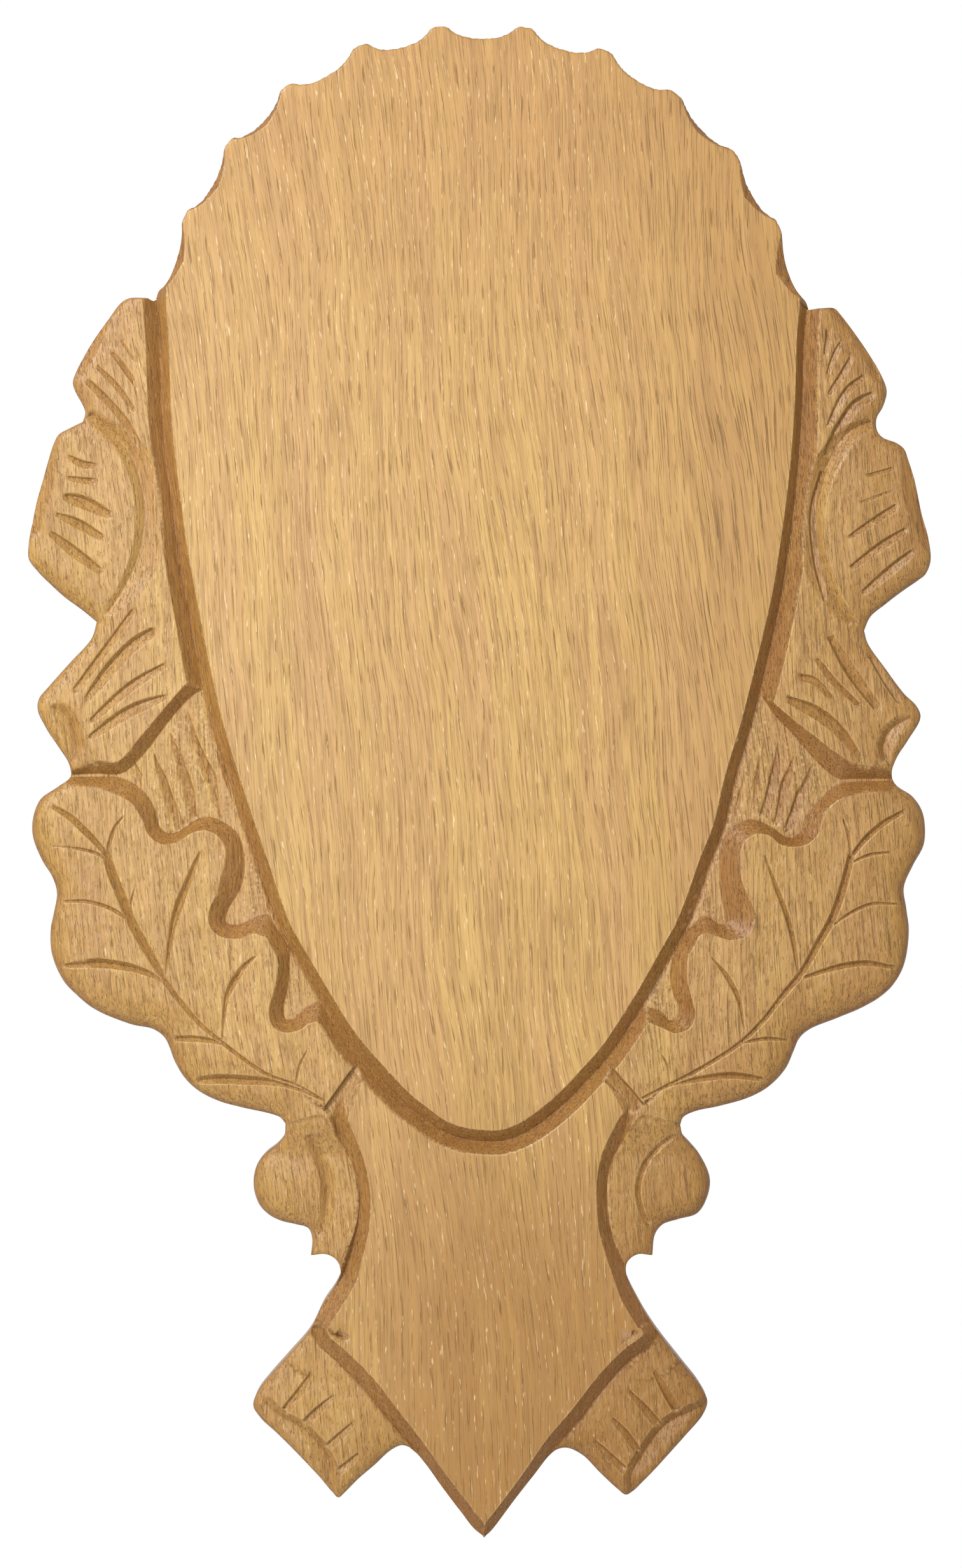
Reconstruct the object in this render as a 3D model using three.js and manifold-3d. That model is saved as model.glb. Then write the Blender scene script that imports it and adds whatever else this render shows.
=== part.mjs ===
// An oak plaque that carries a pair of antlers on a wall.
// One board, sawn to its outline and carved from the front: a shield with a scalloped crown, between two oak
// leaves and two acorns, ending in a pointed tail.
// Millimetres. X is to the right, Z is up, and the carved front faces -Y. The back lies in the plane y = 0.
// The origin is on the back, on the centre line, level with the middle of the crown's curve.

import * as THREE from 'three';
import { mergeVertices } from 'three/addons/utils/BufferGeometryUtils.js';
import Module from 'manifold-3d';

const wasm = await Module();
wasm.setup();

// Driving sizes

const THICKNESS = 25;          // the oak board
const GROUND_DEPTH = 5;        // cut-away ground between leaf and shield
const ACORN_DEPTH = 4.5;       // the acorns lie this far behind the shield's face
const STUB_DEPTH = 4;          // and so do the lowest branch stubs
const TAIL_WALL_DEPTH = 4.5;   // bevel around the tail
const LIFT = 1;                // every cutter starts this far in front of the face
const CURVE_TOLERANCE = 0.15;  // a sampled curve stays this close to the true one
const SAMPLES_PER_SPAN = 8;

const HANGING_HOLE = { radius: 7, depth: 14, z: 70, sides: 28 };

// The crown is eleven scallops between twelve blunt tips, from the lower left one round to the lower right.
const CROWN_TIPS = [
  [-129.9, 30.6], [-118.5, 63], [-101.3, 92], [-78.5, 114.3], [-48.9, 130.7], [-17.6, 138.2], [16.9, 138],
  [48.8, 128.9], [76.8, 111.7], [100.6, 87.5], [117.5, 59.2], [129.4, 26.3],
];
const SCALLOP_SAGS = [2.8, 3.2, 3.6, 4.2, 4.6, 4.6, 4.5, 3.8, 2.8, 2.8, 2.7];
const SCALLOP = {
  tipTrim: 0.06,    // share of the chord that stays straight at either tip
  fullness: 2.6,    // a parabola would be 2, a flatter floor is more
  skew: 1.25,       // the side scallops are deepest near their lower tips
  steps: 7,
};
// Hollow chamfers under the side scallops, by scallop number: how wide each one is.
const CROWN_CHAMFERS = { 0: 3, 1: 2.6, 2: 2.2, 8: 2.2, 9: 3.3, 10: 5.2 };
const CROWN_CHAMFER_DEPTH = 2.5;

// Outline below the crown, in smooth runs from the top down. Neighbouring runs meet in a sharp corner.
// inset and base say how the run's front edge is eased, and how far back its surface already lies.

const LEFT_OUTLINE = [
  { along: [[-129, 31], [-131, 29.5], [-133, 30.5]], inset: 0, base: 0 },
  {
    along: [[-133, 30.5], [-140.5, 30.5], [-144, 28.5], [-148.5, 22.5], [-154, 15], [-158.5, 7.5], [-162, 0.5],
      [-163, -3], [-162, -6.5], [-159, -12], [-158, -15], [-159, -18.5]],
    inset: 1.5, base: 0,
  },
  {
    along: [[-159, -18.5], [-164, -21], [-168.5, -23.5], [-170.5, -27], [-175, -42], [-177.5, -51],
      [-179, -58.5], [-180.5, -67], [-180.5, -73], [-176.5, -78.5], [-172, -83], [-166.5, -88], [-159, -93.5],
      [-153.5, -98]],
    inset: 2.5, base: 0,
  },
  {
    along: [[-153.5, -98], [-155.5, -104.5], [-164, -114], [-172.5, -123.5], [-176.5, -128.5], [-177, -133],
      [-173.5, -140.5], [-168.5, -148], [-164.5, -154.5], [-164, -159.5], [-169, -163.5], [-176, -168.5],
      [-179, -176], [-179, -183.5], [-175.5, -192.5], [-171, -200], [-169.5, -206], [-170.5, -212.5],
      [-172, -220.5], [-171.5, -230], [-167, -240.5], [-162, -246], [-154.5, -252], [-140, -258], [-131, -260],
      [-126.5, -263.5], [-122.5, -273], [-118.5, -279.5], [-113, -284.5], [-105, -288.5], [-96, -291],
      [-84.5, -293.5], [-80.5, -295], [-78.5, -297.5]],
    inset: 3, base: 0,
  },
  {
    along: [[-78.5, -297.5], [-79, -302], [-82, -306], [-86.5, -309.5], [-90, -314], [-91.5, -321.5],
      [-89.5, -329.5], [-85.5, -334], [-80.5, -336.5], [-74, -338], [-69.5, -339.5], [-68, -343.5],
      [-68.5, -350]],
    inset: 3, base: ACORN_DEPTH,
  },
  {
    along: [[-68.5, -350], [-62.5, -349.5], [-58.5, -351.5], [-56.5, -356], [-58.5, -361.5], [-63.5, -369],
      [-69, -380], [-78, -390.5], [-85.5, -399], [-90, -405], [-91.5, -410], [-88.5, -415], [-81.5, -421.5],
      [-72, -431], [-65, -438.5], [-60.5, -444], [-57.5, -446.5], [-55, -444.5], [-49.5, -439], [-43, -433.5],
      [-36.5, -427.5], [-32, -425.5], [-27.5, -427.5], [-23, -432.5], [-16.5, -441.5], [-9, -451.5],
      [-3.5, -458.5], [0.5, -461.5]],
    inset: 1.5, base: STUB_DEPTH,
  },
];

const RIGHT_OUTLINE = [
  { along: [[126, 29], [128, 27.5], [129.5, 26]], inset: 0, base: 0 },
  {
    along: [[129.5, 26], [135, 26.5], [139.5, 26.5], [142.5, 23.5], [147.5, 17], [154, 7.5], [159, -1.5],
      [160.5, -6.5], [159, -12.5], [156.5, -17], [156.5, -21.5], [158.5, -24.5], [164.5, -27], [167.5, -29.5],
      [169, -33.5], [171.5, -41.5], [174.5, -55.5], [177, -64.5], [178, -73.5], [176, -79], [173, -81.5],
      [166.5, -86], [160, -91], [154, -96], [151.5, -101.5]],
    inset: 1.5, base: 0,
  },
  {
    along: [[151.5, -101.5], [153, -106.5], [160, -116.5], [167.5, -126.5], [172.5, -131.5], [174, -136],
      [169, -145], [164.5, -152], [162.5, -158], [164, -162.5], [171, -167.5], [175, -174], [175.5, -186],
      [171, -195], [167.5, -203.5], [168.5, -212], [169.5, -221], [167.5, -234.5], [163, -242.5],
      [157.5, -247.5], [149.5, -252], [141, -255.5], [130, -260], [126, -263.5], [123.5, -269],
      [120.5, -275.5], [114, -282.5], [106, -287], [94, -290.5], [84.5, -292.5], [79.5, -295], [78.5, -298]],
    inset: 3, base: 0,
  },
  {
    along: [[78.5, -298], [79.5, -302], [83, -306], [87, -311], [90.5, -319.5], [89.5, -327], [85.5, -333.5],
      [77.5, -336], [71.5, -338], [68.5, -342], [67.5, -350]],
    inset: 3, base: ACORN_DEPTH,
  },
  {
    along: [[67.5, -350], [61.5, -349.5], [57.5, -352.5], [57, -357], [62.5, -369], [67, -376.5], [72, -383.5],
      [79.5, -393], [86.5, -402], [89.5, -408.5], [87.5, -414], [81, -421.5], [72, -431.5], [63.5, -440.5],
      [60, -444], [57, -445.5], [53.5, -443], [46.5, -436.5], [39.5, -429.5], [33, -426.5], [28, -428],
      [20, -437.5], [12.5, -447], [3, -459.5], [0.5, -461.5]],
    inset: 1.5, base: STUB_DEPTH,
  },
];

// The edge of the shield's face, from its upper left corner round the foot to its upper right corner.

const SHIELD_EDGE = [
  [-125.5, 38.5], [-125.5, 27.5], [-124.5, 12.5], [-124, -3], [-123.5, -15.5], [-122, -32], [-119.5, -51],
  [-117, -69.5], [-114, -86], [-111, -101.5], [-107.5, -119], [-102, -141.5], [-94, -167], [-85.5, -192],
  [-76.5, -217.5], [-69.5, -230], [-59.5, -247], [-50.5, -261], [-39.5, -274], [-29, -285], [-21.5, -291],
  [-14.5, -296], [-7.5, -298.5], [-0.5, -299.5], [7, -299.5], [14, -297], [21, -292.5], [30.5, -284.5],
  [39, -275.5], [47, -266.5], [56, -253], [62.5, -242.5], [69.5, -230], [76.5, -217.5], [81.5, -205],
  [86, -192], [91, -179.5], [96, -159], [102, -139], [107, -119.5], [111.5, -101], [115, -85], [118, -66],
  [120.5, -48], [122.5, -28], [123.5, -14], [124, -0.5], [124.5, 15.5], [125.5, 27], [126, 37.5],
];

// Step-like cuts. Each follows the edge of the part that stands proud. fall is the width of its wall, rise the
// width of the slope that comes back up beyond it, and side says on which hand of the line the wall falls.

const LEFT_HAND = 1;
const RIGHT_HAND = -1;

const SHIELD_GROOVE = {
  along: SHIELD_EDGE, side: RIGHT_HAND,
  fall: [4.4, 4.4, 4.8, 5, 5, 5, 5.2, 5, 4.6, 3.6, 3.2],
  rise: [5, 5, 5.6, 6, 5, 5, 5, 6, 6.5, 6.4, 5.3],
  depth: [4.5, 4.5, 5.5, 6, 5.5, 5, 5.5, 6, 5.5, 4.5, 4],
};

const STEP_CUTS = [
  // wall of the middle lobe on either side, where it overlaps the upper stub and the stem
  {
    along: [[-159, -18.5], [-154, -23], [-148.5, -27.5], [-143.5, -33.5], [-140.5, -41], [-138.5, -49.5],
      [-138, -57], [-139, -66], [-141, -74.5], [-145.5, -84], [-151.5, -93.5]],
    side: LEFT_HAND, fall: [4, 4, 4.5, 5, 4.5, 3.5], rise: [2.5, 3, 4, 4, 3], depth: [3.5, 3, 2, 1.8, 2, 2.2],
  },
  {
    along: [[156, -23], [149, -27], [143, -35.5], [138, -45], [136, -54.5], [136, -64.5], [138, -74.5],
      [141.5, -84], [145, -91], [149, -96.5]],
    side: RIGHT_HAND, fall: [5, 8, 6, 4.2, 4, 4, 3.5], rise: [2, 2, 1.5, 1, 1, 2, 3], depth: [3.5, 3.8, 3, 2.6, 2.5],
  },
  // outer bevels of the upper stubs and the middle lobes
  {
    along: [[-142, 31], [-146.5, 20], [-150, 11], [-154, 3.5], [-157, -1], [-160.5, -4]],
    side: RIGHT_HAND, fall: [1.5, 5, 5.5, 5.5, 4.5, 2], rise: [4], depth: [1.5, 3.5, 3.5, 3.5, 3, 1.5],
  },
  {
    along: [[-165.5, -21], [-167, -25.5], [-167.5, -35.5], [-169, -45.5], [-172, -56], [-174, -63.5], [-180, -68]],
    side: RIGHT_HAND, fall: [1.5, 3, 5.7, 7, 6.3, 5.8, 1.5], rise: [4], depth: [1.5, 3, 3.5, 3.5, 3.5, 3.5, 1.5],
  },
  {
    along: [[135.5, 27.5], [143, 16.5], [149, 6], [152.5, -3], [156.5, -6]],
    side: LEFT_HAND, fall: [1.5, 4.5, 5, 6, 4], rise: [4], depth: [1.5, 3, 3, 3, 2],
  },
  {
    along: [[162, -25.5], [164, -32.5], [164.5, -44], [167, -54.5], [171, -66], [176.5, -76]],
    side: LEFT_HAND, fall: [1.5, 4.8, 7, 7, 5.8, 1.5], rise: [4], depth: [1.5, 3, 3.5, 3.5, 3.5, 1.5],
  },
  // crescents at the tips of the lower stubs
  {
    along: [[-168.5, -128], [-163.5, -131], [-159, -139], [-157.5, -146.5], [-158.5, -153.5]],
    side: RIGHT_HAND, fall: [4.5], rise: [9], depth: [2, 2.8, 3, 3, 2.5],
  },
  {
    along: [[168, -133], [163, -135.5], [157.5, -141], [155.5, -148], [156.5, -154.5]],
    side: LEFT_HAND, fall: [3.6], rise: [5.6], depth: [2, 2.8, 3, 3, 2.5],
  },
  // where leaf and tail meet
  {
    along: [[-50.5, -272], [-56, -278.5], [-60.5, -285], [-63.5, -291]],
    side: LEFT_HAND, fall: [1], rise: [5.5, 7, 8, 7], depth: [2.8],
  },
  {
    along: [[50.5, -272], [56, -279.5], [63, -286.5], [64.5, -291]],
    side: RIGHT_HAND, fall: [1], rise: [4.5, 6, 6, 6], depth: [2.8],
  },
  // bevel around the tail, in two lengths on either side
  {
    along: [[-47.5, -281], [-53, -285.5], [-54, -292], [-52, -299], [-48, -309], [-45.5, -318], [-44.5, -327],
      [-45, -338.5], [-47.5, -350], [-50.5, -360.5], [-56.5, -370.5], [-61.5, -378.5]],
    side: RIGHT_HAND, fall: [3, 7, 8, 6, 5.2, 4.6, 4.8, 5.2, 6, 7, 7, 6.5], rise: [2],
    depth: [2.5, 3, TAIL_WALL_DEPTH, TAIL_WALL_DEPTH, TAIL_WALL_DEPTH, TAIL_WALL_DEPTH],
  },
  {
    along: [[48.5, -281], [56, -290.5], [53, -296.5], [49.5, -303.5], [46.5, -311], [45, -320.5], [45, -328.5],
      [46, -340], [48.5, -349], [51.5, -358], [55, -367.5], [61.5, -378.5]],
    side: LEFT_HAND, fall: [3, 6.5, 6, 5.2, 4.5, 4, 4.2, 4.5, 5.2, 6, 7, 7], rise: [2],
    depth: [2.5, 3, TAIL_WALL_DEPTH, TAIL_WALL_DEPTH, TAIL_WALL_DEPTH, TAIL_WALL_DEPTH],
  },
  {
    along: [[-61.5, -378], [-61, -381], [-53.5, -388], [-43, -398.5], [-33, -411.5], [-24, -423], [-16.5, -433.5],
      [-9, -443.5], [0.5, -455.5], [3, -458.5]],
    side: RIGHT_HAND, fall: [6.5, 6, 6, 6, 5.5, 5, 4.6, 4.6, 5, 5], rise: [3], depth: [STUB_DEPTH + 0.4],
  },
  {
    along: [[62, -378], [63.5, -380.5], [56, -386.5], [47.5, -395], [41, -403], [34.5, -411.5], [25.5, -422],
      [14, -438.5], [1, -455.5], [-1.5, -458.5]],
    side: LEFT_HAND, fall: [6.5, 6, 5.5, 5.5, 5.5, 5.5, 5, 4.6, 5, 5], rise: [3], depth: [STUB_DEPTH + 0.4],
  },
  // nut and cup of each acorn
  {
    along: [[-71.5, -303.5], [-67.5, -312.5], [-65, -320.5], [-65, -327], [-65.5, -334], [-68, -340]],
    side: LEFT_HAND, fall: [2.8], rise: [3.4], depth: [1.2, 1.8, 1.8, 1.2], base: ACORN_DEPTH,
  },
  {
    along: [[75.5, -304], [70.5, -308], [66, -313.5], [63.5, -320], [63, -325.5], [64, -330.5], [66.5, -337]],
    side: RIGHT_HAND, fall: [1.2], rise: [1.6], depth: [0.8, 1.5, 1.5, 0.8], base: ACORN_DEPTH,
  },
  // crescents at the tips of the lowest stubs
  {
    along: [[-84, -406.5], [-78.5, -411.5], [-70.5, -416], [-61.5, -425.5], [-57, -435.5], [-57, -446]],
    side: RIGHT_HAND, fall: [3.2], rise: [7], depth: [1.5, 2.4, 2.4, 1.5], base: STUB_DEPTH,
  },
  {
    along: [[88, -406], [82, -409], [76, -411.5], [69, -416.5], [61, -427.5], [56, -436.5], [56, -446]],
    side: LEFT_HAND, fall: [3.2], rise: [7], depth: [1.5, 2.4, 2.4, 1.5], base: STUB_DEPTH,
  },
];

// Ground cut away between each leaf and the shield: the upper edge of its wall, and the foot of that wall.

const LEFT_GROUND = {
  edge: [
    [-112, -119.5], [-116, -121], [-125.5, -131], [-136, -143.5], [-145.5, -153.5], [-154.5, -152.5],
    [-162, -155.5], [-168.5, -157.5], [-172, -160], [-168.5, -164], [-157.5, -164], [-148, -166], [-140, -170],
    [-135.5, -176.5], [-133, -182.5], [-127.5, -186.5], [-120.5, -185.5], [-115.5, -182], [-110.5, -181],
    [-105, -183.5], [-102.5, -189], [-103.5, -197], [-106.5, -207], [-109, -213.5], [-108.5, -219],
    [-104.5, -223], [-97.5, -224], [-90.5, -222.5], [-85.5, -224], [-82.5, -229], [-81.5, -235.5], [-83, -244],
    [-85, -251.5], [-84, -258], [-79.5, -261], [-73.5, -260.5], [-68.5, -257.5], [-64, -256.5],
  ],
  foot: [
    [-112, -125], [-116, -127.5], [-123.5, -135.5], [-135.5, -151], [-143.5, -158], [-152.5, -158.2],
    [-160, -158.4], [-168.5, -158.6], [-171, -159], [-168.5, -159.6], [-156.5, -159.5], [-144, -160],
    [-135.5, -165], [-131, -171.5], [-129, -179], [-125.5, -182], [-120.5, -181], [-115.5, -177.5],
    [-110.5, -175.5], [-104.5, -177], [-97.5, -182.5], [-95, -191], [-96, -202.5], [-101.5, -212.5],
    [-102.5, -217], [-99.5, -218.5], [-95, -217.5], [-90, -215], [-85.5, -214.5], [-82.5, -219.5],
    [-77.5, -227], [-77, -235], [-78, -245], [-79.5, -252], [-78.5, -256], [-75.5, -256], [-71, -251.5],
    [-66, -249],
  ],
  beside_shield: [[-63.5, -249.5], [-73.5, -232], [-80.5, -219], [-90, -193.5], [-98, -168.5], [-106.5, -142.5]],
};

const RIGHT_GROUND = {
  edge: [
    [111.5, -122], [114.5, -128.5], [122.5, -136], [131.5, -143], [140.5, -150], [148, -154], [158, -154.5],
    [166, -156.5], [171, -160], [167, -165.5], [152, -166.5], [141, -169], [136, -174.5], [133, -182.5],
    [128.5, -186.5], [123, -187.5], [118, -186.5], [113.5, -183], [108, -182.5], [103.5, -186], [102, -193],
    [103, -201], [106, -208], [108.5, -215], [107, -220], [103.5, -223.5], [98, -224.5], [92.5, -223],
    [87.5, -222], [84, -225], [81.5, -231.5], [81.5, -241.5], [83.5, -249], [84.5, -254], [82, -259.5],
    [76.5, -261.5], [71.5, -259.5], [65.5, -257],
  ],
  foot: [
    [111.5, -128], [117, -136], [124, -143], [131.5, -152], [141, -160], [148, -160.2], [157, -160.2],
    [166, -160.2], [170, -160.6], [167, -161], [150.5, -161.5], [141, -162.5], [134, -168.5], [128.5, -174.5],
    [126, -182], [123, -184], [119.5, -183], [114.5, -179.5], [106.5, -176.5], [98.5, -179.5], [95, -187],
    [94, -197], [95, -207.5], [96.5, -215.5], [96, -218], [93.5, -218], [90.5, -216], [87.5, -215],
    [82.5, -219.5], [77.5, -227.5], [75, -234], [74.5, -240], [76, -246.5], [78, -251], [77, -255],
    [74, -256.5], [71, -253], [64.5, -251],
  ],
  beside_shield: [[66, -245], [73, -232.5], [80, -219.5], [85, -206.5], [90, -193.5], [95, -181], [100.5, -160],
    [106.5, -140]],
};

// Flat areas that lie lower than the shield: the acorns and the lowest stubs. They run out past the outline.

const LOWERED = [
  {
    depth: ACORN_DEPTH,
    around: [[-78.5, -297], [-71.5, -295], [-63.5, -293.5], [-59.5, -298], [-56, -304], [-52, -311.5],
      [-50, -318], [-49, -329], [-50.5, -338.5], [-53.5, -347], [-57, -356], [-60.5, -366.5], [-80.5, -366.5],
      [-101, -346], [-101, -306]],
  },
  {
    depth: ACORN_DEPTH,
    around: [[79, -297], [71, -295], [63.5, -293.5], [59, -298], [54.5, -304.5], [51, -311.5], [49, -318.5],
      [49, -330], [50.5, -340], [53.5, -350], [57, -358], [61, -366.5], [81, -366.5], [101.5, -346],
      [101.5, -306]],
  },
  {
    depth: STUB_DEPTH,
    around: [[-68, -380], [-58, -391.5], [-48.5, -401], [-39, -413], [-31, -422.5], [-20, -437], [0.5, -467.5],
      [-60.5, -467.5], [-106, -414.5], [-80.5, -377]],
  },
  {
    depth: STUB_DEPTH,
    around: [[70, -380], [61, -390], [52, -398], [45, -406.5], [37, -416.5], [30.5, -423.5], [20.5, -437],
      [3, -467.5], [61, -467.5], [106.5, -414.5], [81, -377]],
  },
];

// Plain V cuts: leaf veins, and the strokes that dress the stubs. wide is the full width along the cut.

const VEIN_STEEPNESS = 1.1;
const STROKE_STEEPNESS = 0.9;

const VEINS = [
  // left leaf, the middle rib first
  {
    along: [[-149.5, -190], [-147, -198.5], [-143.5, -207], [-140, -216], [-135.5, -224.5], [-130.5, -233],
      [-126, -241], [-119.5, -249.5], [-113, -257], [-103.5, -265], [-93, -273], [-85, -278], [-74, -282],
      [-63, -288]],
    wide: [3.75, 4.25, 4.25, 3.5, 2.5, 2.25, 2, 2, 1.25],
  },
  { along: [[-170.5, -171.5], [-164, -175.5], [-156.5, -182.5], [-149.5, -190]], wide: [2.25, 3, 3.25, 2.5] },
  { along: [[-170, -187], [-161.5, -188], [-154.5, -189.5], [-149.5, -192]], wide: [0.75, 1.5, 1.75, 1.5] },
  { along: [[-143, -175.5], [-146, -179.5], [-148, -185], [-149.5, -191]], wide: [1, 1.75, 2, 1.5] },
  { along: [[-138, -203], [-139.5, -208.5], [-140, -215]], wide: [0.75, 1.25, 1] },
  { along: [[-165.5, -209], [-157.5, -209], [-148.5, -211.5], [-140, -216.5]], wide: [1.5, 1.75, 2, 1.75] },
  {
    along: [[-165.5, -234.5], [-160, -234], [-153.5, -233.5], [-141, -235], [-133, -237.5], [-126, -241]],
    wide: [2.25, 3.25, 4.25, 3.75, 2.75, 1.75],
  },
  {
    along: [[-112.5, -190], [-115, -196], [-117.5, -202.5], [-120.5, -210], [-123, -218.5], [-124.5, -227.5],
      [-126, -238.5]],
    wide: [1.25, 2.5, 3.25, 3.75, 3, 2.25, 1],
  },
  {
    along: [[-90.5, -231], [-94.5, -234.5], [-98, -239.5], [-101, -245], [-102.5, -251.5], [-103.5, -264]],
    wide: [1.25, 2.5, 3.25, 2.75, 1.75, 1],
  },
  { along: [[-121.5, -263.5], [-116, -263.5], [-109.5, -264], [-103, -265.5]], wide: [2.75, 3, 2.5, 1.5] },
  {
    along: [[-112, -280], [-104.5, -279.5], [-93, -280], [-85.5, -280.5], [-78, -282], [-70.5, -284.5],
      [-63, -288]],
    wide: [3.75, 4.25, 4, 3.5, 2.25, 2, 1.25],
  },
  { along: [[-70, -268.5], [-72.5, -273.5], [-74.5, -281.5]], wide: [0.75, 1.5, 1] },
  // right leaf
  {
    along: [[146, -191.5], [142.5, -205], [138.5, -216], [133.5, -225], [127, -236.5], [118.5, -247],
      [111.5, -256], [103, -264.5], [92, -272], [82.5, -277.5], [74.5, -281.5], [63.5, -287]],
    wide: [3.25, 3.5, 3.25, 3, 2.25, 2.25, 2, 1.5],
  },
  { along: [[166.5, -173.5], [159, -178], [152, -184], [146, -191.5]], wide: [2, 2.75, 2.75, 2] },
  { along: [[143, -176.5], [145, -182.5], [146, -190.5]], wide: [1, 1.75, 1.25] },
  { along: [[161, -189.5], [153.5, -190.5], [146.5, -193.5]], wide: [1.25, 1.75, 1.25] },
  { along: [[164, -210], [154.5, -210], [147, -213], [139.5, -218]], wide: [1.25, 1.75, 1.75, 1.25] },
  { along: [[162.5, -235], [152, -233.5], [141, -235], [128, -239]], wide: [2, 2.75, 2.75, 1.75] },
  { along: [[112, -191.5], [117, -205], [121, -216], [123.5, -227], [125, -237.5]], wide: [1, 2.25, 2.5, 2.25, 1] },
  { along: [[91, -231.5], [97, -239], [101.5, -248], [103.5, -259]], wide: [1, 2.5, 2.25, 1] },
  { along: [[120, -264], [112.5, -263.5], [103, -265]], wide: [1.5, 2, 1.5] },
  { along: [[110.5, -279.5], [98.5, -278], [86, -279.5], [76, -281.5]], wide: [2.5, 3.25, 2.75, 1.5] },
  { along: [[69.5, -268], [73, -273.5], [74, -281]], wide: [0.75, 1.25, 1] },
];

const STROKES = [
  // upper left stub
  { along: [[-147, 8.5], [-142.5, 3], [-138, -4]], wide: [0.75, 1.75, 0.75] },
  { along: [[-153, 3], [-145.5, -4.5], [-139, -13.5]], wide: [0.75, 1.75, 1] },
  { along: [[-156.5, -3], [-150.5, -9], [-142.5, -18], [-136.5, -27.5]], wide: [1.25, 2.25, 2, 1] },
  // left middle lobe
  { along: [[-164.5, -32.5], [-159, -35.5], [-154, -36]], wide: [0.75, 2.25, 1] },
  { along: [[-164.5, -41], [-159, -42], [-154, -42]], wide: [0.75, 2, 1] },
  { along: [[-166, -48.5], [-159, -50.5], [-148.5, -55.5]], wide: [1.25, 3.5, 1.5] },
  { along: [[-169, -55.5], [-160, -59.5], [-151.5, -64.5]], wide: [0.75, 2.75, 1.25] },
  { along: [[-171.5, -63], [-162, -70.5], [-152, -78]], wide: [1, 3, 1.25] },
  // lower left stub
  { along: [[-139, -94], [-151.5, -111.5], [-162, -125.5]], wide: [1, 2.25, 1.25] },
  { along: [[-131, -102], [-139, -107.5], [-146, -114.5], [-157.5, -129]], wide: [1.75, 3.5, 3.5, 1] },
  { along: [[-126.5, -115.5], [-140, -124], [-155.5, -137.5]], wide: [1, 2.75, 1] },
  { along: [[-126.5, -128], [-140, -133.5], [-156, -144]], wide: [1, 3.25, 1] },
  // upper right stub
  { along: [[137, 17.5], [137, 13], [136, 8.5]], wide: [1.25, 2, 1] },
  { along: [[142, 12.5], [139.5, 7.5], [137, 0.5]], wide: [0.75, 1.75, 0.75] },
  { along: [[146, 6], [142, -1], [137.5, -7.5]], wide: [1.25, 2, 0.75] },
  { along: [[151, -1], [144.5, -6.5], [137.5, -19.5]], wide: [1.25, 2.25, 1] },
  { along: [[154.5, -8], [148, -12], [142, -20.5], [136.5, -31]], wide: [1.5, 3, 3, 1.25] },
  // right middle lobe and its stem
  { along: [[162, -37.5], [153, -40]], wide: [1.25, 1] },
  { along: [[162.5, -46], [150.5, -50.5]], wide: [1, 1] },
  { along: [[164, -52.5], [157, -57], [145.5, -64.5]], wide: [1.5, 2.25, 0.75] },
  { along: [[167.5, -62], [158, -68], [146.5, -76.5]], wide: [1.25, 2.5, 1] },
  { along: [[170.5, -70.5], [162, -77.5], [151, -86.5]], wide: [1.25, 2.75, 1] },
  { along: [[135, -38.5], [131, -54.5], [132.5, -74.5], [136, -89.5]], wide: [1.5, 2, 2, 1] },
  // lower right stub
  { along: [[154.5, -112], [159.5, -120.5], [165.5, -130]], wide: [1.25, 2.25, 1] },
  { along: [[138, -104], [146, -117.5], [156.5, -132]], wide: [1.25, 3.25, 1.5] },
  { along: [[132.5, -113], [139, -121.5], [149, -131]], wide: [1, 2, 1] },
  { along: [[126, -120], [131.5, -121.5], [138, -128]], wide: [1.5, 2.25, 1] },
  { along: [[121.5, -129], [133, -134.5], [141.5, -141.5], [149.5, -152]], wide: [1.25, 3.5, 2.5, 1] },
];

// Wedge notches that run into the crescents of the lowest stubs.
const STUB_NOTCHES = [
  { along: [[-68.5, -397.5], [-73.5, -405], [-78.5, -411.5]], wide: [0.75, 1.75, 2.5] },
  { along: [[-60, -406.5], [-65, -411], [-70.5, -416.5]], wide: [0.75, 1.75, 2.5] },
  { along: [[-52, -417], [-56.5, -421.5], [-62, -426.5]], wide: [0.75, 1.75, 2.25] },
  { along: [[-49.5, -429], [-53, -432.5], [-57.5, -436]], wide: [0.75, 1.75, 2.25] },
  { along: [[68.5, -396.5], [72.5, -403.5], [77, -411]], wide: [0.75, 1.75, 2.5] },
  { along: [[58.5, -404.5], [64, -410.5], [69.5, -417]], wide: [0.75, 1.75, 2.5] },
  { along: [[51.5, -415], [56.5, -420.5], [61.5, -427.5]], wide: [0.75, 1.75, 2.25] },
  { along: [[44.5, -424], [50, -429.5], [56, -435]], wide: [0.75, 1.75, 2.25] },
];

// Curves

// The value of a list of evenly spread numbers at the fraction t of its length.
function valueAt(list, t) {
  const place = t * (list.length - 1);
  const low = Math.min(Math.floor(place), Math.max(list.length - 2, 0));
  const high = Math.min(low + 1, list.length - 1);
  return THREE.MathUtils.lerp(list[low], list[high], place - low);
}

// Points on the smooth curve through the given ones, each with its fraction t along the list.
function smooth(points) {
  const curve = new THREE.CatmullRomCurve3(points.map(([x, z]) => new THREE.Vector3(x, 0, z)));
  const count = (points.length - 1) * SAMPLES_PER_SPAN;
  return curve.getPoints(count).map((p, i) => ({ x: p.x, z: p.z, t: i / count }));
}

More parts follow.
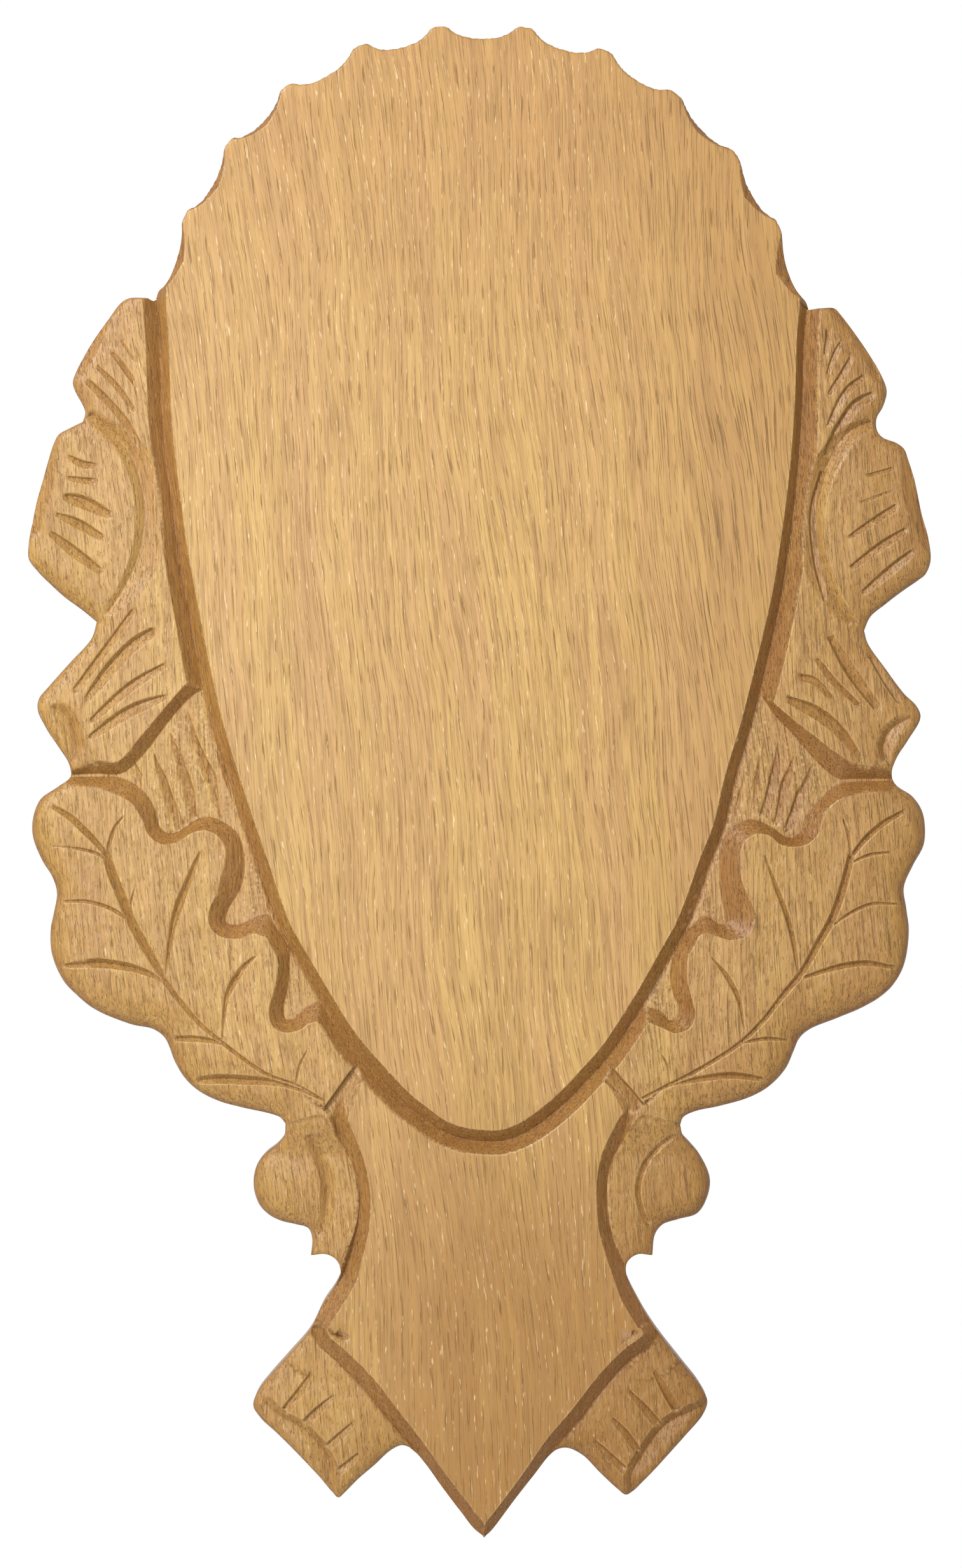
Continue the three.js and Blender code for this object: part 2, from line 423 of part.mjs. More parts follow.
// Drops the points that the curve doesn't need: what is left stays within the tolerance.
function thin(points, tolerance = CURVE_TOLERANCE) {
  if (points.length < 3) return points;
  const first = points[0];
  const last = points[points.length - 1];
  const length = Math.hypot(last.x - first.x, last.z - first.z) || 1e-9;
  let worst = 0;
  let at = 0;
  for (let i = 1; i < points.length - 1; i += 1) {
    const p = points[i];
    const across = (last.x - first.x) * (first.z - p.z) - (first.x - p.x) * (last.z - first.z);
    const away = Math.abs(across) / length;
    if (away > worst) [worst, at] = [away, i];
  }
  if (worst < tolerance) return [first, last];
  return [...thin(points.slice(0, at + 1), tolerance), ...thin(points.slice(at), tolerance).slice(1)];
}

// The unit normal on the left hand of the line at point i.
function normalAt(points, i) {
  const before = points[Math.max(i - 1, 0)];
  const after = points[Math.min(i + 1, points.length - 1)];
  const length = Math.hypot(after.x - before.x, after.z - before.z);
  return { x: -(after.z - before.z) / length, z: (after.x - before.x) / length };
}

// Crown

// One scallop from the tip on its left to the tip on its right, sagging towards the middle of the board.
function scallop(index) {
  const [ax, az] = CROWN_TIPS[index];
  const [bx, bz] = CROWN_TIPS[index + 1];
  const length = Math.hypot(bx - ax, bz - az);
  const middle = (SCALLOP_SAGS.length - 1) / 2;
  const skew = SCALLOP.skew ** ((index - middle) / middle);
  return Array.from({ length: SCALLOP.steps + 1 }, (_, i) => {
    const t = i / SCALLOP.steps;
    const u = THREE.MathUtils.lerp(SCALLOP.tipTrim, 1 - SCALLOP.tipTrim, t);
    const sag = SCALLOP_SAGS[index] * (1 - Math.abs(2 * t ** skew - 1) ** SCALLOP.fullness) / length;
    return { x: ax + (bx - ax) * u + (bz - az) * sag, z: az + (bz - az) * u - (bx - ax) * sag, t };
  });
}

// Solids

function solidFrom(positions, triangles) {
  let volume = 0;
  const corner = new THREE.Vector3();
  const second = new THREE.Vector3();
  const third = new THREE.Vector3();
  for (const [a, b, c] of triangles) {
    corner.fromArray(positions, a * 3);
    second.fromArray(positions, b * 3);
    third.fromArray(positions, c * 3);
    volume += corner.dot(second.cross(third));
  }
  const facing = volume < 0 ? triangles.map(([a, b, c]) => [a, c, b]) : triangles;
  const geometry = new THREE.BufferGeometry();
  geometry.setAttribute('position', new THREE.Float32BufferAttribute(positions, 3));
  geometry.setIndex(facing.flat());
  return toManifold(geometry);
}

function toManifold(geometry) {
  const bare = geometry.clone();
  bare.deleteAttribute('normal');
  bare.deleteAttribute('uv');
  const merged = mergeVertices(bare, 1e-4);
  return new wasm.Manifold(new wasm.Mesh({
    numProp: 3,
    vertProperties: new Float32Array(merged.attributes.position.array),
    triVerts: new Uint32Array(merged.index.array),
  }));
}

// A blade of triangular section drawn along a line: from near, down to valley, and up again to far.
// Those three are distances to the left hand of the line, lists of numbers along it.
function blade(points, { near, valley, far, depth, base = 0 }) {
  const positions = [];
  const triangles = [];
  points.forEach((p, i) => {
    const n = normalAt(points, i);
    const d = valueAt(depth, p.t);
    const v = valueAt(valley, p.t);
    const above = (base + LIFT) / d;
    const a = valueAt(near, p.t);
    const b = valueAt(far, p.t);
    const across = [a + (a - v) * above, v, b + (b - v) * above];
    const heights = [-THICKNESS - LIFT, -THICKNESS + base + d, -THICKNESS - LIFT];
    across.forEach((s, k) => positions.push(p.x + n.x * s, heights[k], p.z + n.z * s));
    if (i === 0) return;
    const here = i * 3;
    const back = here - 3;
    for (const [j, k] of [[0, 1], [1, 2], [2, 0]]) {
      triangles.push([back + j, here + j, here + k], [back + j, here + k, back + k]);
    }
  });
  const end = (points.length - 1) * 3;
  triangles.push([0, 1, 2], [end, end + 2, end + 1]);
  return solidFrom(positions, triangles);
}

function vCut({ along, wide }, steepness, base = 0) {
  return blade(thin(smooth(along)), {
    near: wide.map((w) => w / 2),
    valley: [0],
    far: wide.map((w) => -w / 2),
    depth: wide.map((w) => steepness * w / 2),
    base,
  });
}

function stepCut({ along, side, fall, rise, depth, base }) {
  const points = thin(smooth(along));
  const count = Math.max(fall.length, rise.length);
  const spread = Array.from({ length: count }, (_, i) => i / Math.max(count - 1, 1));
  return blade(points, {
    near: [0],
    valley: fall.map((w) => side * w),
    far: spread.map((t) => side * (valueAt(fall, t) + valueAt(rise, t))),
    depth,
    base,
  });
}

// A pocket whose walls lean: the edge in the face and the foot of the wall are two closed lines, point by point.
function pocket(edge, foot, depth) {
  const positions = [];
  const spread = LIFT / depth;
  edge.forEach((p, i) => {
    positions.push(p.x + (p.x - foot[i].x) * spread, -THICKNESS - LIFT, p.z + (p.z - foot[i].z) * spread);
  });
  foot.forEach((p) => positions.push(p.x, -THICKNESS + depth, p.z));
  const count = edge.length;
  const flat = (points) => points.map((p) => new THREE.Vector2(p.x, p.z));
  const lid = THREE.ShapeUtils.triangulateShape(flat(edge), []);
  const floor = THREE.ShapeUtils.triangulateShape(flat(foot), []);
  const turn = THREE.ShapeUtils.isClockWise(flat(edge)) ? -1 : 1;
  const triangles = [];
  for (const [a, b, c] of lid) triangles.push([a, b, c]);
  for (const [a, b, c] of floor) triangles.push([a + count, c + count, b + count]);
  for (let i = 0; i < count; i += 1) {
    const j = (i + 1) % count;
    const wall = [[i, i + count, j + count], [i, j + count, j]];
    triangles.push(...(turn > 0 ? wall : wall.map(([a, b, c]) => [a, c, b])));
  }
  return solidFrom(positions, triangles);
}

function groundPocket({ edge, foot, beside_shield: beside }) {
  const edgeLine = smooth(edge);
  const footLine = smooth(foot);
  const kept = new Set(thin(edgeLine, 0.2).map((p) => p.t));
  thin(footLine, 0.2).forEach((p) => kept.add(p.t));
  const side = beside.map(([x, z]) => ({ x, z }));
  return pocket(
    [...edgeLine.filter((p) => kept.has(p.t)), ...side],
    [...footLine.filter((p) => kept.has(p.t)), ...side],
    GROUND_DEPTH,
  );
}

function loweredArea({ around, depth }) {
  const line = thin(smooth(around));
  return pocket(line, line, depth);
}

// The sawn board

function outlinePoints() {
  const crown = SCALLOP_SAGS.flatMap((_, index) => scallop(index));
  const downRight = RIGHT_OUTLINE.flatMap(({ along }) => thin(smooth(along)).slice(0, -1));
  const upLeft = LEFT_OUTLINE.flatMap(({ along }) => thin(smooth(along)).slice(0, -1)).reverse();
  return [...crown, ...downRight, { x: 0.5, z: -461.5 }, ...upLeft];
}

function sawnBoard() {
  const shape = new THREE.Shape(outlinePoints().map((p) => new THREE.Vector2(p.x, p.z)));
  const board = new THREE.ExtrudeGeometry(shape, { depth: THICKNESS, bevelEnabled: false });
  board.rotateX(Math.PI / 2);
  return toManifold(board);
}

// The eased front edge below the crown: a narrow bevel along each run, dying out at the corners.
function easedEdges() {
  const bevels = [];
  for (const [runs, inner] of [[LEFT_OUTLINE, LEFT_HAND], [RIGHT_OUTLINE, RIGHT_HAND]]) {
    for (const { along, inset, base } of runs.filter((run) => run.inset > 0)) {
      const width = [0.4, inset, inset, inset, inset, inset, inset, inset, 0.4];
      bevels.push(blade(thin(smooth(along)), {
        near: width.map((w) => inner * w), valley: [0], far: width.map((w) => -inner * w), depth: width, base,
      }));
    }
  }
  return bevels;
}

function crownChamfers() {
  return Object.entries(CROWN_CHAMFERS).map(([index, width]) => blade(scallop(Number(index)), {
    near: [-0.4, -width, -0.4], valley: [0], far: [2], depth: [0.5, CROWN_CHAMFER_DEPTH, 0.5],
  }));
}

function hangingHole() {
  const { radius, depth, z, sides } = HANGING_HOLE;
  const bore = new THREE.CylinderGeometry(radius, radius, depth + LIFT, sides);
  bore.translate(0, (LIFT - depth) / 2, z);
  return toManifold(bore);
}

function carve() {
  const cutters = [
    stepCut(SHIELD_GROOVE),
    groundPocket(LEFT_GROUND),
    groundPocket(RIGHT_GROUND),
    ...LOWERED.map(loweredArea),
    ...STEP_CUTS.map(stepCut),
    ...VEINS.map((cut) => vCut(cut, VEIN_STEEPNESS)),
    ...STROKES.map((cut) => vCut(cut, STROKE_STEEPNESS)),
    ...STUB_NOTCHES.map((cut) => vCut(cut, VEIN_STEEPNESS, STUB_DEPTH)),
    ...easedEdges(),
    ...crownChamfers(),
    hangingHole(),
  ];
  return cutters.reduce((board, cutter) => board.subtract(cutter), sawnBoard());
}

function toGeometry(solid) {
  const { vertProperties, triVerts } = solid.getMesh();
  const geometry = new THREE.BufferGeometry();
  geometry.setAttribute('position', new THREE.BufferAttribute(vertProperties, 3));
  geometry.setIndex(new THREE.BufferAttribute(triVerts, 1));
  return geometry;
}

const oak = new THREE.MeshStandardMaterial({ color: 0xc79a5e, roughness: 0.45, metalness: 0 });
const plaque = new THREE.Mesh(toGeometry(carve()), oak);
plaque.name = 'oak_plaque';

const model = new THREE.Group();
model.add(plaque);
export default model;
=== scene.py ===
# %% [markdown]
# # A carved oak plaque for a pair of antlers
# The real object is one oak board, about 600 mm tall, sawn to its outline and then carved from the front with
# V tools and gouges. It is sanded, stained a little browner in the carving, and lacquered to a satin finish.
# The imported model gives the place, the size and the main levels. This script makes the same board again with
# the finer relief and the wood itself.

# %% Load the fixed frame
import math

import bpy
import numpy as np
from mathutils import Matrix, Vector
from mathutils.geometry import delaunay_2d_cdt


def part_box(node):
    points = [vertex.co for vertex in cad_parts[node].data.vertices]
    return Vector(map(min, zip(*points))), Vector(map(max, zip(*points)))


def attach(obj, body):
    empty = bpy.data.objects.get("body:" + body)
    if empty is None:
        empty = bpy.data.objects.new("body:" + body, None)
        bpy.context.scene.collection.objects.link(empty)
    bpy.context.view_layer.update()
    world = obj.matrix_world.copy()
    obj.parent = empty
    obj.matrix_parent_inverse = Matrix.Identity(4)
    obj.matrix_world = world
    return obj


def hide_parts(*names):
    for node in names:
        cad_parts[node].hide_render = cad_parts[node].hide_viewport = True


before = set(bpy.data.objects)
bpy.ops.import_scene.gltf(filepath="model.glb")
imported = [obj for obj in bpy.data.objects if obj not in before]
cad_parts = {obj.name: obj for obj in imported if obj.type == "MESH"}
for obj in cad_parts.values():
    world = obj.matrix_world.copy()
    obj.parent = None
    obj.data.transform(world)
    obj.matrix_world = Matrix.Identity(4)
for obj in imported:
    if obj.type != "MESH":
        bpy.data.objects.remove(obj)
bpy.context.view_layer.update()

board_low, board_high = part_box("oak_plaque")
MM = 0.001
THICKNESS = (board_high[1] - board_low[1]) / MM
print("board", [round((b - a) / MM, 1) for a, b in zip(board_low, board_high)], "mm")

# %% [markdown]
# ## Smooth lines through a few points
# A carver draws the pattern on the board first. Every line here is a short list of points in millimetres,
# x to the right and z up, with a smooth curve through them. Two helpers are enough: one reads a list of
# values anywhere along a line, the other draws the curve.

# %% Draw a smooth line


def spread(values, place):
    """Values set evenly from place 0 to place 1, and read in between along straight lines."""
    values = np.atleast_1d(np.asarray(values, float))
    if len(values) == 1:
        return np.full(np.shape(place), values[0])
    return np.interp(place, np.linspace(0, 1, len(values)), values)


def smooth(points, step=1.3):
    """The smooth curve through the given points, read off at even steps of its length.

    Between two neighbours it is a cubic. Its tangents come from the points before and after, and its parameter
    runs with the square root of the distance, so it neither loops nor overshoots at uneven spacing.
    Returns the positions, and each one's place from 0 to 1 along the list.
    """
    p = np.asarray(points, float)
    p = np.vstack([2 * p[0] - p[1], p, 2 * p[-1] - p[-2]])
    a, b, c, d = p[:-3], p[1:-2], p[2:-1], p[3:]
    ab, bc, cd = (np.sqrt(np.linalg.norm(r - q, axis=1) + 1e-9)[:, None] for q, r in ((a, b), (b, c), (c, d)))
    leave = bc * ((b - a) / ab - (c - a) / (ab + bc) + (c - b) / bc)
    arrive = bc * ((c - b) / bc - (d - b) / (bc + cd) + (d - c) / cd)
    u = np.linspace(0, 1, 16, endpoint=False)[None, :, None]
    b, c, leave, arrive = (v[:, None] for v in (b, c, leave, arrive))
    curve = b + leave * u + (3 * (c - b) - 2 * leave - arrive) * u**2 + (2 * (b - c) + leave + arrive) * u**3
    curve = np.vstack([curve.reshape(-1, 2), p[-2]])
    place = np.linspace(0, 1, len(curve))
    run = np.concatenate([[0], np.cumsum(np.linalg.norm(np.diff(curve, axis=0), axis=1))])
    at = np.linspace(0, run[-1], max(round(run[-1] / step), 2) + 1)
    xz = np.column_stack([np.interp(at, run, curve[:, 0]), np.interp(at, run, curve[:, 1])])
    return xz, np.interp(at, run, place)


def left_normal(xz):
    """Unit vectors to the left of a line: its direction at each point, turned a quarter turn."""
    along = np.gradient(xz, axis=0)
    along /= np.linalg.norm(along, axis=1)[:, None] + 1e-12
    return np.column_stack([-along[:, 1], along[:, 0]])


def beside(line, offset):
    """A line moved sideways by an offset to its left, which may change along it."""
    xz, place = line
    return xz + left_normal(xz) * spread(offset, place)[:, None]


# %% [markdown]
# ## The sawn outline
# The board's outline is a crown of eleven shallow scallops, and below it two sides in several smooth runs that
# meet in sharp corners. A scallop is an arc between two blunt tips. Drawing the runs apart keeps the corners
# between stub, leaf, acorn and tail as sharp as the saw left them.

# %% List the outline
CROWN_TIPS = [
    [-129.9, 30.6], [-118.5, 63], [-101.3, 92], [-78.5, 114.3], [-48.9, 130.7], [-17.6, 138.2], [16.9, 138],
    [48.8, 128.9], [76.8, 111.7], [100.6, 87.5], [117.5, 59.2], [129.4, 26.3],
]
SCALLOP_SAGS = [2.8, 3.2, 3.6, 4.2, 4.6, 4.6, 4.5, 3.8, 2.8, 2.8, 2.7]
CROWN_CHAMFERS = {0: 3, 1: 2.6, 2: 2.2, 8: 2.2, 9: 3.3, 10: 5.2}

# Each run: its points, and how wide and how deep its front edge is rounded over along the run.
LEFT_OUTLINE = [
    ([[-129, 31], [-131, 29.5], [-133, 30.5]], [1], [0.5]),
    ([[-133, 30.5], [-140.5, 30.5], [-144, 28.5], [-148.5, 22.5], [-154, 15], [-158.5, 7.5], [-162, 0.5],
      [-163, -3], [-162, -6.5], [-159, -12], [-158, -15], [-159, -18.5]],
     [1.5, 2, 2, 2.5, 4, 4, 2], [0.8, 1, 1, 1.2, 2, 2, 1]),
    ([[-159, -18.5], [-164, -21], [-168.5, -23.5], [-170.5, -27], [-175, -42], [-177.5, -51], [-179, -58.5],
      [-180.5, -67], [-180.5, -73], [-176.5, -78.5], [-172, -83], [-166.5, -88], [-159, -93.5], [-153.5, -98]],
     [2, 3, 2, 2, 4, 6, 4], [1, 1.5, 1, 1, 2.5, 3.5, 2]),
    ([[-153.5, -98], [-155.5, -104.5], [-164, -114], [-172.5, -123.5], [-176.5, -128.5], [-177, -133],
      [-173.5, -140.5], [-168.5, -148], [-164.5, -154.5], [-164, -159.5], [-169, -163.5], [-176, -168.5],
      [-179, -176], [-179, -183.5], [-175.5, -192.5], [-171, -200], [-169.5, -206], [-170.5, -212.5],
      [-172, -220.5], [-171.5, -230], [-167, -240.5], [-162, -246], [-154.5, -252], [-140, -258], [-131, -260],
      [-126.5, -263.5], [-122.5, -273], [-118.5, -279.5], [-113, -284.5], [-105, -288.5], [-96, -291],
      [-84.5, -293.5], [-80.5, -295], [-78.5, -297.5]],
     [3, 5, 5, 3, 6.5, 7, 7, 7, 8, 8, 7, 6, 5], [1.5, 2.5, 2.5, 1.5, 3.5, 4, 4, 4, 4.5, 4.5, 4, 3.5, 2.5]),
    ([[-78.5, -297.5], [-79, -302], [-82, -306], [-86.5, -309.5], [-90, -314], [-91.5, -321.5],
      [-89.5, -329.5], [-85.5, -334], [-80.5, -336.5], [-74, -338], [-69.5, -339.5], [-68, -343.5], [-68.5, -350]],
     [2, 5, 7, 7, 5, 2], [1.5, 3, 4.5, 4.5, 3, 1.5]),
    ([[-68.5, -350], [-62.5, -349.5], [-58.5, -351.5], [-56.5, -356], [-58.5, -361.5], [-63.5, -369],
      [-69, -380], [-78, -390.5], [-85.5, -399], [-90, -405], [-91.5, -410], [-88.5, -415], [-81.5, -421.5],
      [-72, -431], [-65, -438.5], [-60.5, -444], [-57.5, -446.5], [-55, -444.5], [-49.5, -439], [-43, -433.5],
      [-36.5, -427.5], [-32, -425.5], [-27.5, -427.5], [-23, -432.5], [-16.5, -441.5], [-9, -451.5],
      [-3.5, -458.5], [0.5, -461.5]],
     [1, 1, 3, 5, 3, 3, 4, 2, 0.8], [0.6, 0.6, 2, 3, 2, 2, 2.5, 1, 0.4]),
]
RIGHT_OUTLINE = [
    ([[126, 29], [128, 27.5], [129.5, 26]], [1], [0.5]),
    ([[129.5, 26], [135, 26.5], [139.5, 26.5], [142.5, 23.5], [147.5, 17], [154, 7.5], [159, -1.5],
      [160.5, -6.5], [159, -12.5], [156.5, -17], [156.5, -21.5], [158.5, -24.5], [164.5, -27], [167.5, -29.5],
      [169, -33.5], [171.5, -41.5], [174.5, -55.5], [177, -64.5], [178, -73.5], [176, -79], [173, -81.5],
      [166.5, -86], [160, -91], [154, -96], [151.5, -101.5]],
     [1.5, 2, 2, 4, 3, 2, 2, 4, 6, 3], [0.8, 1, 1, 2, 1.5, 1, 1, 2.5, 3.5, 1.5]),
    ([[151.5, -101.5], [153, -106.5], [160, -116.5], [167.5, -126.5], [172.5, -131.5], [174, -136],
      [169, -145], [164.5, -152], [162.5, -158], [164, -162.5], [171, -167.5], [175, -174], [175.5, -186],
      [171, -195], [167.5, -203.5], [168.5, -212], [169.5, -221], [167.5, -234.5], [163, -242.5],
      [157.5, -247.5], [149.5, -252], [141, -255.5], [130, -260], [126, -263.5], [123.5, -269],
      [120.5, -275.5], [114, -282.5], [106, -287], [94, -290.5], [84.5, -292.5], [79.5, -295], [78.5, -298]],
     [3, 5, 5, 3, 6.5, 7, 7, 7, 8, 8, 7, 6, 5], [1.5, 2.5, 2.5, 1.5, 3.5, 4, 4, 4, 4.5, 4.5, 4, 3.5, 2.5]),
    ([[78.5, -298], [79.5, -302], [83, -306], [87, -311], [90.5, -319.5], [89.5, -327], [85.5, -333.5],
      [77.5, -336], [71.5, -338], [68.5, -342], [67.5, -350]],
     [2, 5, 7, 7, 5, 2], [1.5, 3, 4.5, 4.5, 3, 1.5]),
    ([[67.5, -350], [61.5, -349.5], [57.5, -352.5], [57, -357], [62.5, -369], [67, -376.5], [72, -383.5],
      [79.5, -393], [86.5, -402], [89.5, -408.5], [87.5, -414], [81, -421.5], [72, -431.5], [63.5, -440.5],
      [60, -444], [57, -445.5], [53.5, -443], [46.5, -436.5], [39.5, -429.5], [33, -426.5], [28, -428],
      [20, -437.5], [12.5, -447], [3, -459.5], [0.5, -461.5]],
     [1, 1, 3, 5, 3, 3, 4, 2, 0.8], [0.6, 0.6, 2, 3, 2, 2, 2.5, 1, 0.4]),
]


def scallop(index, trim=0.09, steps=24):
    """One scallop between two tips: the chord, dipped inwards by its sag times one minus a power of the distance
    from the middle. The side scallops are deepest near their lower tips, so their middle is skewed."""
    a, b = np.array(CROWN_TIPS[index], float), np.array(CROWN_TIPS[index + 1], float)
    t = np.linspace(0, 1, steps + 1)
    skew = 1.25 ** ((index - 5) / 5)
    dip = SCALLOP_SAGS[index] * (1 - np.abs(2 * t**skew - 1) ** 2.6)
    inward = np.array([b[1] - a[1], a[0] - b[0]]) / np.linalg.norm(b - a)
    return a + (b - a) * (trim + (1 - 2 * trim) * t)[:, None] + inward * dip[:, None]


def crown_line():
    """The scallops joined over rounded tips, from the lower left tip to the lower right one."""
    points = [CROWN_TIPS[0]]
    for index in range(len(SCALLOP_SAGS)):
        points += scallop(index, steps=12).tolist() + [CROWN_TIPS[index + 1]]
    return smooth(points, 1.0)


def sawn_loop(step=1.1):
    """The whole outline as one closed loop, anticlockwise as seen from the front."""
    left = [smooth(run[0], step)[0][:-1] for run in LEFT_OUTLINE]
    right = [smooth(run[0], step)[0][:-1] for run in RIGHT_OUTLINE]
    clockwise = np.vstack([crown_line()[0]] + right + [[[0.5, -461.5]]] + [np.vstack(left)[::-1]])
    gap = np.linalg.norm(clockwise - np.roll(clockwise, 1, 0), axis=1)
    return clockwise[gap > 0.35][::-1]


# The smooth curve may pass a listed tip by a tenth of a millimetre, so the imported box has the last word.
OUTLINE = np.clip(sawn_loop(), [board_low[0] / MM, board_low[2] / MM], [board_high[0] / MM, board_high[2] / MM])
print("outline", len(OUTLINE), "points,", np.ptp(OUTLINE, axis=0).round(1), "mm")

# %% [markdown]
# ## The carved lines
# Step cuts leave one side proud: a wall falls from a crisp edge and a slope comes back up beyond it. The
# groove round the shield is the longest of them. Veins and strokes are V cuts, widest in the middle. The
# ground between leaf and shield is cut away to one level. Each is a line with widths along it.

# %% List the step cuts
SHIELD_EDGE = [
    [-125.5, 38.5], [-125.5, 27.5], [-124.5, 12.5], [-124, -3], [-123.5, -15.5], [-122, -32], [-119.5, -51],
    [-117, -69.5], [-114, -86], [-111, -101.5], [-107.5, -119], [-102, -141.5], [-94, -167], [-85.5, -192],
    [-76.5, -217.5], [-69.5, -230], [-59.5, -247], [-50.5, -261], [-39.5, -274], [-29, -285], [-21.5, -291],
    [-14.5, -296], [-7.5, -298.5], [-0.5, -299.5], [7, -299.5], [14, -297], [21, -292.5], [30.5, -284.5],
    [39, -275.5], [47, -266.5], [56, -253], [62.5, -242.5], [69.5, -230], [76.5, -217.5], [81.5, -205],
    [86, -192], [91, -179.5], [96, -159], [102, -139], [107, -119.5], [111.5, -101], [115, -85], [118, -66],
    [120.5, -48], [122.5, -28], [123.5, -14], [124, -0.5], [124.5, 15.5], [125.5, 27], [126, 37.5],
]
LEFT_HAND, RIGHT_HAND = 1, -1
ABSOLUTE, ADDED = 0, 1

